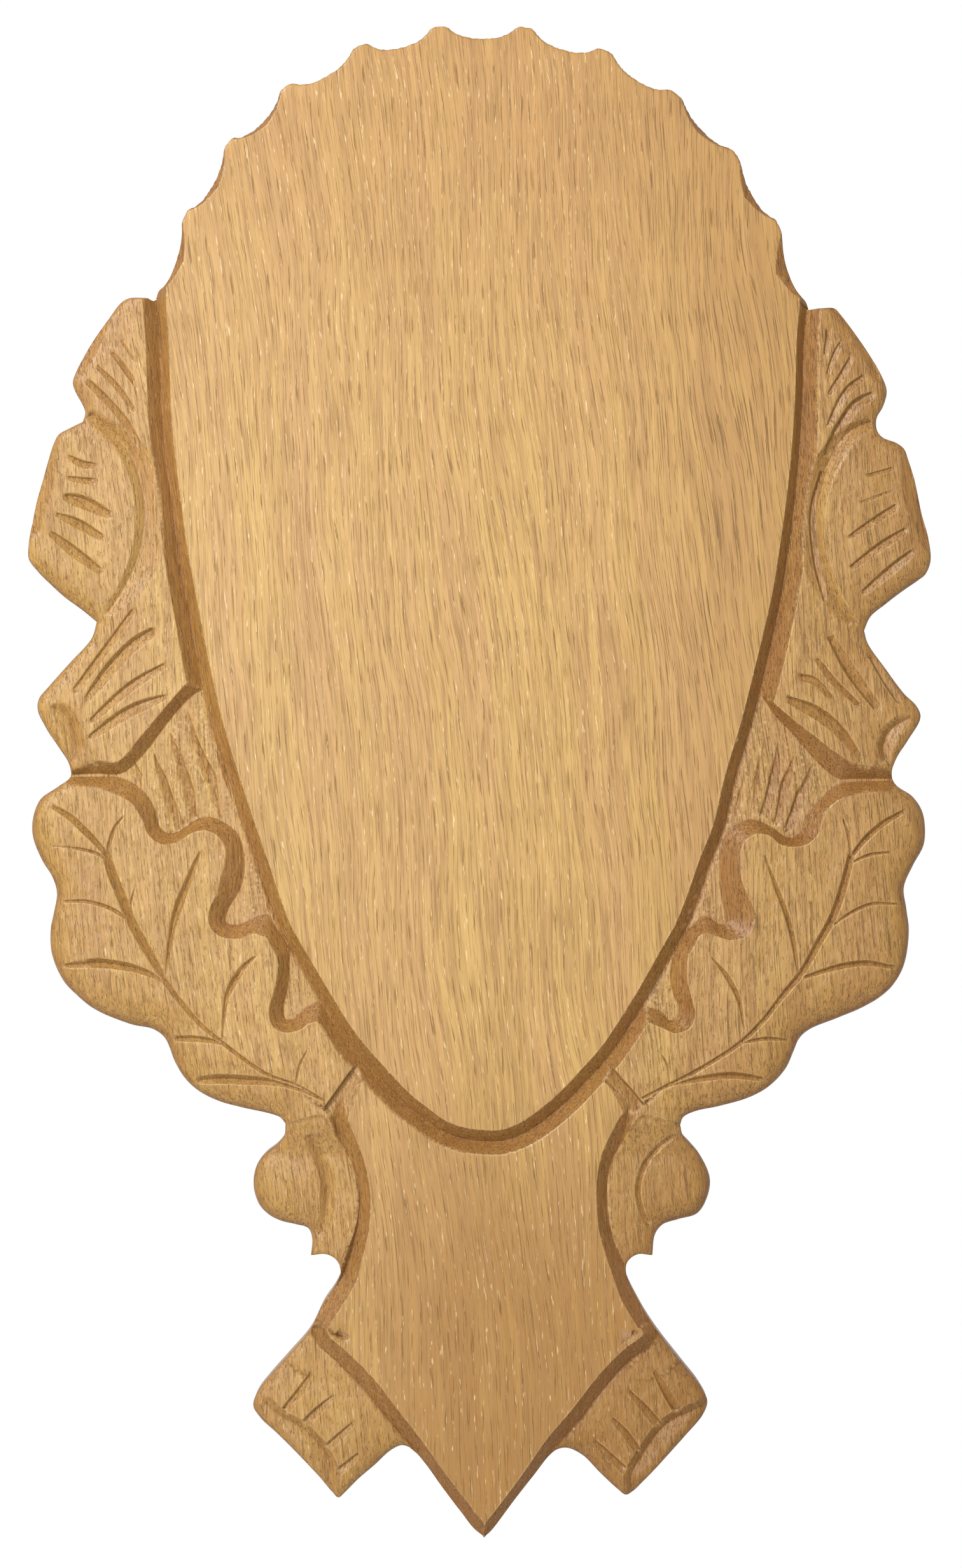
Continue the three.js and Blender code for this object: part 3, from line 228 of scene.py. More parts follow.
# Each cut: its line, the side its wall falls to, the wall's width, the width of the slope beyond and the depth.
# An absolute cut is measured from the board's face. An added one goes that much below what is there. The last two
# numbers are how much stain the wall and the slope hold.
SHIELD_GROOVE = (
    SHIELD_EDGE, RIGHT_HAND, [4, 4, 4.6, 5, 5, 5, 5.2, 5, 4.6, 3.4, 3],
    [5.5, 5.5, 6, 6, 5, 5, 5, 6, 6.5, 6.8, 5.5], [4.5, 4.5, 5.5, 6, 5.5, 5, 5.5, 6, 5.5, 4.5, 4], ABSOLUTE, 0.9, 1)
STEP_CUTS = [
    ([[-159, -18.5], [-154, -23], [-148.5, -27.5], [-143.5, -33.5], [-140.5, -41], [-138.5, -49.5], [-138, -57],
      [-139, -66], [-141, -74.5], [-145.5, -84], [-151.5, -93.5]],
     LEFT_HAND, [4, 4, 4, 3.6, 3, 2.5], [3, 5, 9, 11, 9, 4], [3.5, 3.2, 2.6, 2.4, 2.4, 2.2], ABSOLUTE, 0.1, 0.45),
    ([[156, -23], [149, -27], [143, -35.5], [138, -45], [136, -54.5], [136, -64.5], [138, -74.5], [141.5, -84],
      [145, -91], [149, -96.5]],
     RIGHT_HAND, [5, 6, 4.5, 3.2, 3, 3, 2.5], [3, 4, 7, 8, 8, 6, 3], [3.5, 3.6, 3, 2.6, 2.5], ABSOLUTE, 0.15, 0.45),
    ([[-142, 31], [-146.5, 20], [-150, 11], [-154, 3.5], [-157, -1], [-160.5, -4]],
     RIGHT_HAND, [1.5, 5, 5.5, 5.5, 4.5, 2], [4], [1.5, 3.5, 3.5, 3.5, 3, 1.5], ABSOLUTE, 0.7, 0.7),
    ([[-165.5, -21], [-167, -25.5], [-167.5, -35.5], [-169, -45.5], [-172, -56], [-174, -63.5], [-180, -68]],
     RIGHT_HAND, [1.5, 3, 5.7, 7, 6.3, 5.8, 1.5], [4], [1.5, 3, 3.5, 3.5, 3.5, 3.5, 1.5], ABSOLUTE, 0.7, 0.7),
    ([[135.5, 27.5], [143, 16.5], [149, 6], [152.5, -3], [156.5, -6]],
     LEFT_HAND, [1.5, 4.5, 5, 6, 4], [4], [1.5, 3, 3, 3, 2], ABSOLUTE, 0.7, 0.7),
    ([[162, -25.5], [164, -32.5], [164.5, -44], [167, -54.5], [171, -66], [176.5, -76]],
     LEFT_HAND, [1.5, 4.8, 7, 7, 5.8, 1.5], [4], [1.5, 3, 3.5, 3.5, 3.5, 1.5], ABSOLUTE, 0.7, 0.7),
    ([[-168.5, -128], [-163.5, -131], [-159, -139], [-157.5, -146.5], [-158.5, -153.5]],
     RIGHT_HAND, [4.5], [9], [2, 2.8, 3, 3, 2.5], ABSOLUTE, 0.6, 0.3),
    ([[168, -133], [163, -135.5], [157.5, -141], [155.5, -148], [156.5, -154.5]],
     LEFT_HAND, [3.6], [8], [2, 2.8, 3, 3, 2.5], ABSOLUTE, 0.6, 0.3),
    ([[-48.8, -271.4], [-53.5, -277], [-58.5, -284], [-63.5, -290.8]],
     LEFT_HAND, [0.9], [2, 6, 8.5, 10.5], [2.6, 3], ABSOLUTE, 0.9, 0.5),
    ([[50.1, -272.4], [54.5, -278], [59.5, -283.5], [64, -289]],
     RIGHT_HAND, [0.9], [2.5, 5.5, 7, 9], [2.6, 3], ABSOLUTE, 0.9, 0.6),
    ([[-47.5, -281], [-53, -285.5], [-54, -292], [-52, -299], [-48, -309], [-45.5, -318], [-44.5, -327],
      [-45, -338.5], [-47.5, -350], [-50.5, -360.5], [-56.5, -370.5], [-61.5, -378.5]],
     RIGHT_HAND, [1, 1.5, 4.5, 6, 5.4, 4.8, 4.6, 4.8, 5.2, 6, 6.5, 6.5], [2.5],
     [0.8, 1.5, 3.4, 4.5, 4.7, 4.7, 4.7, 4.7, 4.7, 4.7, 4.7, 4.7], ABSOLUTE, 1, 0.8),
    ([[48.5, -281], [56, -290.5], [53, -296.5], [49.5, -303.5], [46.5, -311], [45, -320.5], [45, -328.5],
      [46, -340], [48.5, -349], [51.5, -358], [55, -367.5], [61.5, -378.5]],
     LEFT_HAND, [1, 1.5, 4.5, 5.5, 5, 4.4, 4.4, 4.6, 5.2, 6, 6.5, 6.5], [2.5],
     [0.8, 1.5, 3.4, 4.5, 4.7, 4.7, 4.7, 4.7, 4.7, 4.7, 4.7, 4.7], ABSOLUTE, 1, 0.8),
    ([[-61.5, -378], [-61, -381], [-53.5, -388], [-43, -398.5], [-33, -411.5], [-24, -423], [-16.5, -433.5],
      [-9, -443.5], [0.5, -455.5], [3, -458.5]],
     RIGHT_HAND, [6.5, 6, 6, 6, 5.5, 5, 4.6, 4.6, 5, 5], [3], [4.4], ABSOLUTE, 1, 0.8),
    ([[62, -378], [63.5, -380.5], [56, -386.5], [47.5, -395], [41, -403], [34.5, -411.5], [25.5, -422],
      [14, -438.5], [1, -455.5], [-1.5, -458.5]],
     LEFT_HAND, [6.5, 6, 5.5, 5.5, 5.5, 5.5, 5, 4.6, 5, 5], [3], [4.4], ABSOLUTE, 1, 0.8),
    ([[-71.5, -303.5], [-67.5, -312.5], [-65, -320.5], [-65, -327], [-65.5, -334], [-68, -340]],
     LEFT_HAND, [2.8], [3.4], [1.2, 1.8, 1.8, 1.2], ADDED, 0.6, 0.3),
    ([[75.5, -304], [70.5, -308], [66, -313.5], [63.5, -320], [63, -325.5], [64, -330.5], [66.5, -337]],
     RIGHT_HAND, [1.2], [1.6], [0.8, 1.5, 1.5, 0.8], ADDED, 0.6, 0.3),
    ([[-84, -406.5], [-78.5, -411.5], [-70.5, -416], [-61.5, -425.5], [-57, -435.5], [-57, -446]],
     RIGHT_HAND, [3.2], [7], [1.5, 2.4, 2.4, 1.5], ADDED, 0.6, 0.4),
    ([[88, -406], [82, -409], [76, -411.5], [69, -416.5], [61, -427.5], [56, -436.5], [56, -446]],
     LEFT_HAND, [3.2], [7], [1.5, 2.4, 2.4, 1.5], ADDED, 0.6, 0.4),
]

# %% List the grounds and the lower areas
# Edge and foot of each ground's wall, and the side that lies in the shield's groove.
GROUNDS = [
    ([[-112, -119.5], [-116, -121], [-125.5, -131], [-136, -143.5], [-145.5, -153.5], [-154.5, -152.5],
      [-162, -155.5], [-168.5, -157.5], [-172, -160], [-168.5, -164], [-157.5, -164], [-148, -166], [-140, -170],
      [-135.5, -176.5], [-133, -182.5], [-127.5, -186.5], [-120.5, -185.5], [-115.5, -182], [-110.5, -181],
      [-105, -183.5], [-102.5, -189], [-103.5, -197], [-106.5, -207], [-109, -213.5], [-108.5, -219],
      [-104.5, -223], [-97.5, -224], [-90.5, -222.5], [-85.5, -224], [-82.5, -229], [-81.5, -235.5], [-83, -244],
      [-85, -251.5], [-84, -258], [-79.5, -261], [-73.5, -260.5], [-68.5, -257.5], [-64, -256.5]],
     [[-112, -125], [-116, -127.5], [-123.5, -135.5], [-135.5, -151], [-143.5, -158], [-152.5, -158.2],
      [-160, -158.4], [-168.5, -158.6], [-171, -159], [-168.5, -159.6], [-156.5, -159.5], [-144, -160],
      [-135.5, -165], [-131, -171.5], [-129, -179], [-125.5, -182], [-120.5, -181], [-115.5, -177.5],
      [-110.5, -175.5], [-104.5, -177], [-97.5, -182.5], [-95, -191], [-96, -202.5], [-101.5, -212.5],
      [-102.5, -217], [-99.5, -218.5], [-95, -217.5], [-90, -215], [-85.5, -214.5], [-82.5, -219.5],
      [-77.5, -227], [-77, -235], [-78, -245], [-79.5, -252], [-78.5, -256], [-75.5, -256], [-71, -251.5],
      [-66, -249]],
     [[-63.5, -249.5], [-73.5, -232], [-80.5, -219], [-90, -193.5], [-98, -168.5], [-106.5, -142.5]]),
    ([[111.5, -122], [114.5, -128.5], [122.5, -136], [131.5, -143], [140.5, -150], [148, -154], [158, -154.5],
      [166, -156.5], [171, -160], [167, -165.5], [152, -166.5], [141, -169], [136, -174.5], [133, -182.5],
      [128.5, -186.5], [123, -187.5], [118, -186.5], [113.5, -183], [108, -182.5], [103.5, -186], [102, -193],
      [103, -201], [106, -208], [108.5, -215], [107, -220], [103.5, -223.5], [98, -224.5], [92.5, -223],
      [87.5, -222], [84, -225], [81.5, -231.5], [81.5, -241.5], [83.5, -249], [84.5, -254], [82, -259.5],
      [76.5, -261.5], [71.5, -259.5], [65.5, -257]],
     [[111.5, -128], [117, -136], [124, -143], [131.5, -152], [141, -160], [148, -160.2], [157, -160.2],
      [166, -160.2], [170, -160.6], [167, -161], [150.5, -161.5], [141, -162.5], [134, -168.5], [128.5, -174.5],
      [126, -182], [123, -184], [119.5, -183], [114.5, -179.5], [106.5, -176.5], [98.5, -179.5], [95, -187],
      [94, -197], [95, -207.5], [96.5, -215.5], [96, -218], [93.5, -218], [90.5, -216], [87.5, -215],
      [82.5, -219.5], [77.5, -227.5], [75, -234], [74.5, -240], [76, -246.5], [78, -251], [77, -255],
      [74, -256.5], [71, -253], [64.5, -251]],
     [[66, -245], [73, -232.5], [80, -219.5], [85, -206.5], [90, -193.5], [95, -181], [100.5, -160],
      [106.5, -140]]),
]
GROUND_DEPTH = 5

# Single gouge strokes over the grounds, with a broad facet on one side and a steep one on the other.
GROUND_STROKES = [
    ([[-117.5, -134], [-115, -150], [-110.5, -161], [-105, -176]], LEFT_HAND, [0.3, 3.4, 4.2, 0.5],
     [0.2, 0.7, 0.8, 0.3], [0.2, 1.1, 1.2, 0.2], ADDED, 0.8, 0.25),
    ([[-124.5, -142.5], [-123, -152], [-119.5, -166], [-117, -177]], LEFT_HAND, [0.3, 3, 4.2, 3],
     [0.2, 0.7, 0.8, 0.5], [0.2, 1, 1.3, 0.9], ADDED, 0.8, 0.25),
    ([[-131.5, -149.5], [-129.5, -160.5], [-126, -172], [-122.5, -181]], LEFT_HAND, [0.3, 3.2, 3.8, 2],
     [0.2, 0.7, 0.8, 0.5], [0.2, 1, 1.1, 0.6], ADDED, 0.8, 0.25),
    ([[-139, -153], [-138, -159], [-136, -165]],
     LEFT_HAND, [0.3, 2.2, 0.3], [0.2, 0.5, 0.2], [0.1, 0.7, 0.1], ADDED, 0.8, 0.25),
    ([[-107, -147], [-104, -158], [-99.5, -170]],
     LEFT_HAND, [0.3, 2, 0.3], [0.2, 0.6, 0.2], [0.1, 0.7, 0.1], ADDED, 0.8, 0.25),
    ([[117.8, -146], [118.2, -160], [114, -176]],
     RIGHT_HAND, [0.4, 3.8, 3.4], [0.3, 1, 0.9], [0.2, 1.3, 1], ADDED, 0.8, 0.25),
    ([[124, -151.5], [122.5, -163], [119, -179]],
     RIGHT_HAND, [0.4, 3.6, 2.8], [0.3, 0.9, 0.8], [0.2, 1.2, 0.9], ADDED, 0.8, 0.25),
    ([[131, -155.5], [129.5, -167], [123.5, -182]],
     RIGHT_HAND, [0.4, 4.4, 3.6], [0.3, 1, 0.9], [0.2, 1.3, 1], ADDED, 0.8, 0.25),
    ([[110.5, -151], [110, -161], [107.5, -172]],
     RIGHT_HAND, [0.3, 1.6, 0.3], [0.3, 0.8, 0.3], [0.2, 0.9, 0.2], ADDED, 0.8, 0.25),
    ([[104, -160], [102.5, -170], [100, -178]],
     RIGHT_HAND, [0.3, 1.6, 0.3], [0.3, 0.8, 0.3], [0.2, 0.7, 0.2], ADDED, 0.8, 0.25),
    ([[-89, -199], [-87, -208], [-84.5, -216]],
     LEFT_HAND, [0.3, 1.8, 0.3], [0.2, 0.6, 0.2], [0.1, 0.8, 0.1], ADDED, 0.8, 0.25),
]

# Areas that lie lower than the shield: the acorns, then the lowest stubs. An acorn starts near the face at its
# top and goes down to its full depth over 16 mm.
LOWERED = [
    (4.5, [[-78.5, -297], [-71.5, -295], [-63.5, -293.5], [-59.5, -298], [-56, -304], [-52, -311.5], [-50, -318],
           [-49, -329], [-50.5, -338.5], [-53.5, -347], [-57, -356], [-60.5, -366.5], [-80.5, -366.5],
           [-101, -346], [-101, -306]], -294),
    (4.5, [[79, -297], [71, -295], [63.5, -293.5], [59, -298], [54.5, -304.5], [51, -311.5], [49, -318.5],
           [49, -330], [50.5, -340], [53.5, -350], [57, -358], [61, -366.5], [81, -366.5], [101.5, -346],
           [101.5, -306]], -294),
    (4, [[-68, -380], [-58, -391.5], [-48.5, -401], [-39, -413], [-31, -422.5], [-20, -437], [0.5, -467.5],
         [-60.5, -467.5], [-106, -414.5], [-80.5, -377]], None),
    (4, [[70, -380], [61, -390], [52, -398], [45, -406.5], [37, -416.5], [30.5, -423.5], [20.5, -437],
         [3, -467.5], [61, -467.5], [106.5, -414.5], [81, -377]], None),
]

# %% List the V cuts
# Each: its line and its full widths along it.
VEINS = [
    ([[-149.5, -190], [-147, -198.5], [-143.5, -207], [-140, -216], [-135.5, -224.5], [-130.5, -233],
      [-126, -241], [-119.5, -249.5], [-113, -257], [-103.5, -265], [-93, -273], [-85, -278], [-74, -282],
      [-63, -288]], [3.75, 4.25, 4.25, 4.25, 4, 3.5, 2.75, 2.5, 2.25, 2, 2, 2, 1.75, 1.25]),
    ([[-170.5, -171.5], [-164, -175.5], [-156.5, -182.5], [-149.5, -190]], [2.25, 3, 3.25, 2.5]),
    ([[-170, -187], [-161.5, -188], [-154.5, -189.5], [-149.5, -192]], [0.75, 1.5, 1.75, 1.5]),
    ([[-143, -175.5], [-146, -179.5], [-148, -185], [-149.5, -191]], [1, 1.75, 2, 1.5]),
    ([[-138, -203], [-139.5, -208.5], [-140, -215]], [0.75, 1.25, 1]),
    ([[-165.5, -209], [-157.5, -209], [-148.5, -211.5], [-140, -216.5]], [1.5, 1.75, 2, 1.75]),
    ([[-165.5, -234.5], [-160, -234], [-153.5, -233.5], [-141, -235], [-133, -237.5], [-126, -241]],
     [2.25, 3.25, 4.25, 3.75, 2.75, 1.75]),
    ([[-112.5, -190], [-115, -196], [-117.5, -202.5], [-120.5, -210], [-123, -218.5], [-124.5, -227.5],
      [-126, -238.5]], [1.25, 2.5, 3.25, 3.75, 3, 2.25, 1]),
    ([[-90.5, -231], [-94.5, -234.5], [-98, -239.5], [-101, -245], [-102.5, -251.5], [-103.5, -264]],
     [1.25, 2.5, 3.25, 2.75, 1.75, 1]),
    ([[-121.5, -263.5], [-116, -263.5], [-109.5, -264], [-103, -265.5]], [2.75, 3, 2.5, 1.5]),
    ([[-112, -280], [-104.5, -279.5], [-93, -280], [-85.5, -280.5], [-78, -282], [-70.5, -284.5], [-63, -288]],
     [3.75, 4.25, 4, 3.5, 2.25, 2, 1.25]),
    ([[-70, -268.5], [-72.5, -273.5], [-74.5, -281.5]], [0.75, 1.5, 1]),
    ([[146, -191.5], [142.5, -205], [138.5, -216], [133.5, -225], [127, -236.5], [118.5, -247], [111.5, -256],
      [103, -264.5], [92, -272], [82.5, -277.5], [74.5, -281.5], [63.5, -287]],
     [3.25, 3.5, 3.5, 3.25, 3, 2.5, 2.25, 2.25, 2, 2, 2, 1.5]),
    ([[166.5, -173.5], [159, -178], [152, -184], [146, -191.5]], [2, 2.75, 2.75, 2]),
    ([[143, -176.5], [145, -182.5], [146, -190.5]], [1, 1.75, 1.25]),
    ([[161, -189.5], [153.5, -190.5], [146.5, -193.5]], [1.25, 1.75, 1.25]),
    ([[164, -210], [154.5, -210], [147, -213], [139.5, -218]], [1.25, 1.75, 1.75, 1.25]),
    ([[162.5, -235], [152, -233.5], [141, -235], [128, -239]], [2, 2.75, 2.75, 1.75]),
    ([[112, -191.5], [117, -205], [121, -216], [123.5, -227], [125, -237.5]], [1, 2.25, 2.5, 2.25, 1]),
    ([[91, -231.5], [97, -239], [101.5, -248], [103.5, -259]], [1, 2.5, 2.25, 1]),
    ([[120, -264], [112.5, -263.5], [103, -265]], [1.5, 2, 1.5]),
    ([[110.5, -279.5], [98.5, -278], [86, -279.5], [76, -281.5]], [2.5, 3.25, 2.75, 1.5]),
    ([[69.5, -268], [73, -273.5], [74, -281]], [0.75, 1.25, 1]),
]
STROKES = [
    ([[-143.5, 13.5], [-141.5, 10.5], [-139, 6.5]], [0.5, 1, 0.5]),
    ([[-147, 8.5], [-142.5, 3], [-138, -4]], [0.75, 1.75, 0.75]),
    ([[-153, 3], [-145.5, -4.5], [-139, -13.5]], [0.75, 1.75, 1]),
    ([[-156.5, -3], [-150.5, -9], [-142.5, -18], [-136.5, -27.5]], [1.25, 2.25, 2, 1]),
    ([[-164.5, -32.5], [-159, -35.5], [-154, -36]], [0.75, 2.25, 1]),
    ([[-164.5, -41], [-159, -42], [-154, -42]], [0.75, 2, 1]),
    ([[-166, -48.5], [-159, -50.5], [-148.5, -55.5]], [1.25, 3.5, 1.5]),
    ([[-169, -55.5], [-160, -59.5], [-151.5, -64.5]], [0.75, 2.75, 1.25]),
    ([[-171.5, -63], [-162, -70.5], [-152, -78]], [1, 3, 1.25]),
    ([[-139, -94], [-151.5, -111.5], [-162, -125.5]], [1, 2.25, 1.25]),
    ([[-131, -102], [-139, -107.5], [-146, -114.5], [-157.5, -129]], [1.75, 3.5, 3.5, 1]),
    ([[-126.5, -115.5], [-140, -124], [-155.5, -137.5]], [1, 2.75, 1]),
    ([[-126.5, -128], [-140, -133.5], [-156, -144]], [1, 3.25, 1]),
    ([[137, 17.5], [137, 13], [136, 8.5]], [1.25, 2, 1]),
    ([[142, 12.5], [139.5, 7.5], [137, 0.5]], [0.75, 1.75, 0.75]),
    ([[146, 6], [142, -1], [137.5, -7.5]], [1.25, 2, 0.75]),
    ([[151, -1], [144.5, -6.5], [137.5, -19.5]], [1.25, 2.25, 1]),
    ([[154.5, -8], [148, -12], [142, -20.5], [136.5, -31]], [1.5, 3, 3, 1.25]),
    ([[162, -37.5], [153, -40]], [1.25, 1]),
    ([[162.5, -46], [150.5, -50.5]], [1, 1]),
    ([[164, -52.5], [157, -57], [145.5, -64.5]], [1.5, 2.25, 0.75]),
    ([[167.5, -62], [158, -68], [146.5, -76.5]], [1.25, 2.5, 1]),
    ([[170.5, -70.5], [162, -77.5], [151, -86.5]], [1.25, 2.75, 1]),
    ([[135, -38.5], [131, -54.5], [132.5, -74.5], [136, -89.5]], [1.5, 2, 2, 1]),
    ([[154.5, -112], [159.5, -120.5], [165.5, -130]], [1.25, 2.25, 1]),
    ([[138, -104], [146, -117.5], [156.5, -132]], [1.25, 3.25, 1.5]),
    ([[132.5, -113], [139, -121.5], [149, -131]], [1, 2, 1]),
    ([[126, -120], [131.5, -121.5], [138, -128]], [1.5, 2.25, 1]),
    ([[121.5, -129], [133, -134.5], [141.5, -141.5], [149.5, -152]], [1.25, 3.5, 2.5, 1]),
    ([[-68.5, -397.5], [-73.5, -405], [-78.5, -411.5]], [0.75, 1.75, 2.5]),
    ([[-60, -406.5], [-65, -411], [-70.5, -416.5]], [0.75, 1.75, 2.5]),
    ([[-52, -417], [-56.5, -421.5], [-62, -426.5]], [0.75, 1.75, 2.25]),
    ([[-49.5, -429], [-53, -432.5], [-57.5, -436]], [0.75, 1.75, 2.25]),
    ([[68.5, -396.5], [72.5, -403.5], [77, -411]], [0.75, 1.75, 2.5]),
    ([[58.5, -404.5], [64, -410.5], [69.5, -417]], [0.75, 1.75, 2.5]),
    ([[51.5, -415], [56.5, -420.5], [61.5, -427.5]], [0.75, 1.75, 2.25]),
    ([[44.5, -424], [50, -429.5], [56, -435]], [0.75, 1.75, 2.25]),
]
print(len(STEP_CUTS) + 1, "step cuts,", len(VEINS), "veins,", len(STROKES), "strokes")

# %% [markdown]
# ## How deep the carving is at any point
# The front is a height map: one depth behind the face for every point of the outline. Each cut gives a depth
# from the distance to its line, and the deepest cut wins, as it does when a blade takes wood away. So the whole
# relief is one function of two numbers, and the mesh can be as fine as it needs to be wherever it needs to.

# %% Measure distances to a line


def locate(points, line, reach):
    """Where points lie along a line: their distance from it, positive to its left, their place from 0 to 1, and
    how far they lie past either end. A point further off than reach keeps reach as its distance."""
    xz, place = line
    off, at, past = np.full(len(points), float(reach)), np.zeros(len(points)), np.zeros(len(points))
    for first in range(0, len(xz) - 1, 24):
        a, b = xz[first:first + 25][:-1], xz[first:first + 25][1:]
        near = np.flatnonzero(
            ((points > np.minimum(a, b).min(0) - reach) & (points < np.maximum(a, b).max(0) + reach)).all(1))
        if not near.size:
            continue
        p, run = points[near][:, None], b - a
        u = np.clip(((p - a) * run).sum(-1) / ((run**2).sum(-1) + 1e-12), 0, 1)
        away = p - a - run * u[..., None]
        gap = np.linalg.norm(away, axis=-1)
        best = gap.argmin(1)
        row = np.arange(len(near))
        closer = gap[row, best] < np.abs(off[near])
        row, best, hit = row[closer], best[closer], near[closer]
        turn = run[best, 0] * away[row, best, 1] - run[best, 1] * away[row, best, 0]
        off[hit] = gap[row, best] * np.where(turn < 0, -1, 1)
        at[hit] = place[first + best] + u[row, best] * (place[first + best + 1] - place[first + best])
    for end, inner, ended in ((xz[0], xz[1], at <= 0), (xz[-1], xz[-2], at >= 1)):
        ended = np.flatnonzero(ended & (np.abs(off) < reach))
        out = (end - inner) / np.linalg.norm(end - inner)
        v = points[ended] - end
        over = v @ out
        ended, v, over = ended[over > 0], v[over > 0], over[over > 0]
        hand = 1 if end is xz[-1] else -1
        off[ended] = hand * (out[0] * v[:, 1] - out[1] * v[:, 0])
        past[ended] = over
    return off, at, past


def inside(points, loop):
    """True inside a closed loop: a ray from the point then crosses the loop an odd number of times."""
    odd = np.zeros(len(points), bool)
    box = np.flatnonzero(((points > loop.min(0)) & (points < loop.max(0))).all(1))
    x, z = points[box].T
    hits = np.zeros(len(box), bool)
    for (ax, az), (bx, bz) in zip(loop, np.roll(loop, -1, 0)):
        if az != bz:
            hits ^= ((az > z) != (bz > z)) & (x < ax + (bx - ax) * (z - az) / (bz - az))
    odd[box] = hits
    return odd


def ripple(points, wave, seed):
    """Soft unevenness between about -1 and 1: seven plane waves of like length in different directions."""
    rng = np.random.default_rng(seed)
    turn, shift = rng.uniform(0, np.pi, 7), rng.uniform(0, 2 * np.pi, 7)
    length = wave * rng.uniform(0.7, 1.5, 7)
    phase = points @ np.array([np.cos(turn), np.sin(turn)]) * (2 * np.pi / length) + shift
    return np.sin(phase).sum(1) / 3


# %% Work out each cut's depth


def step_depth(points, cut, line):
    """Falls in a straight wall from the edge to the full depth, then comes back up in a straight slope. Also
    returns which points are on the wall, and how far the others lie beyond the cut."""
    _, side, fall, rise, deep, *_ = cut
    off, at, past = locate(points, line, max(fall) + max(rise) + 12)
    off = off * side
    fall, rise, deep = spread(fall, at), spread(rise, at), spread(deep, at)
    depth = deep * np.minimum(off / fall, (fall + rise - off) / rise)
    depth = np.where(off > 0, np.maximum(depth, 0), 0) * np.clip(1 - past / 1.5, 0, 1)
    return depth, off < fall * 1.15, np.abs(off) - fall - rise


def swell(wide, place):
    """Widths along a stroke, filled out from straight lines to the outline of a slim leaf."""
    most = max(wide)
    return most * (1 - (1 - spread(wide, place) / most) ** 2)


def v_depth(points, line, wide, steep):
    """A vein: depth falls from the middle of the line to nothing at half its width, over a slightly rounded
    bottom as a gouge leaves it."""
    off, at, past = locate(points, line, max(wide))
    half = spread(wide, at) / 2
    q = np.hypot(off, past) / half
    return steep * half * np.clip(1 - q**1.15, 0, None)


def stroke_depth(points, line, wide, steep, lean):
    """A stroke: its bottom lies to one side by the lean, so one wall is steep and the other a broad facet."""
    off, at, past = locate(points, line, max(wide))
    half = swell(wide, at) / 2
    u = off / half
    wall = np.minimum((1 + u) / (1 + lean), (1 - u) / (1 - lean))
    return steep * half * np.clip(wall - past / half, 0, None)


def rounded_depth(points, line, wide, deep):
    """A rounded front edge: a quarter of an ellipse from the outline in to the width."""
    off, at, past = locate(points, line, max(wide))
    q = np.clip(np.hypot(off, past) / spread(wide, at), 0, 1)
    return spread(deep, at) * (1 - np.sqrt(np.clip(1 - (1 - q) ** 2, 0, 1)))


def ground_depth(points, edge, foot, shut):
    """The ground's floor at full depth inside the foot line, and a wall between foot and edge lines: its depth
    grows with the share of the way from the one to the other. Also returns the room to the foot."""
    within = inside(points, np.vstack([edge[0], shut]))
    floor = inside(points, np.vstack([foot[0], shut]))
    to_edge, to_foot = np.abs(locate(points, edge, 14)[0]), np.abs(locate(points, foot, 14)[0])
    share = np.where(floor, 1, np.where(within, to_edge / (to_edge + to_foot + 1e-9), 0))
    return GROUND_DEPTH * share, floor * to_foot


def chatter(points):
    """The unevenness of a tooled surface: long soft waves, with smaller facets on them."""
    return 0.16 * ripple(points, 19, 1) + 0.07 * ripple(points, 7, 2) + 0.03 * ripple(points * [1, 0.45], 2.4, 5)


def gouge_passes(points):
    """Narrow upright gouge passes side by side on the ground, each of its own depth and length, with ridges
    between them."""
    x, z = points.T
    across = x / 2.1 + 0.5 * np.sin(z / 13) + 0.25 * ripple(points, 11, 3)
    lane = np.floor(across)
    hollow = 1 - (2 * (across - lane) - 1) ** 2
    own = 0.5 + 0.5 * np.sin(lane * 12.9898 + 1.3 * np.sin(z / 8 + lane * 4.1))
    return hollow * (0.1 + 0.5 * own) - 0.35 * own


def loop_ring(loop):
    """A closed loop as a line, with its first point again at its end."""
    ring = np.vstack([loop, loop[:1]])
    return ring, np.linspace(0, 1, len(ring))


# %% Prepare the lines
edges_rounded = [
    (smooth(points), np.array(wide) * 1.3, deep) for points, wide, deep in LEFT_OUTLINE + RIGHT_OUTLINE]
edges_rounded.append((crown_line(), [0.9], [0.4]))
chamfers = []
for index, width in CROWN_CHAMFERS.items():
    arc = scallop(index)
    chamfers.append(((arc, np.linspace(0, 1, len(arc))), [0.4, width, 0.4], [0.4, 2.5, 0.4]))
steps = [(cut, smooth(cut[0])) for cut in [SHIELD_GROOVE] + STEP_CUTS + GROUND_STROKES]
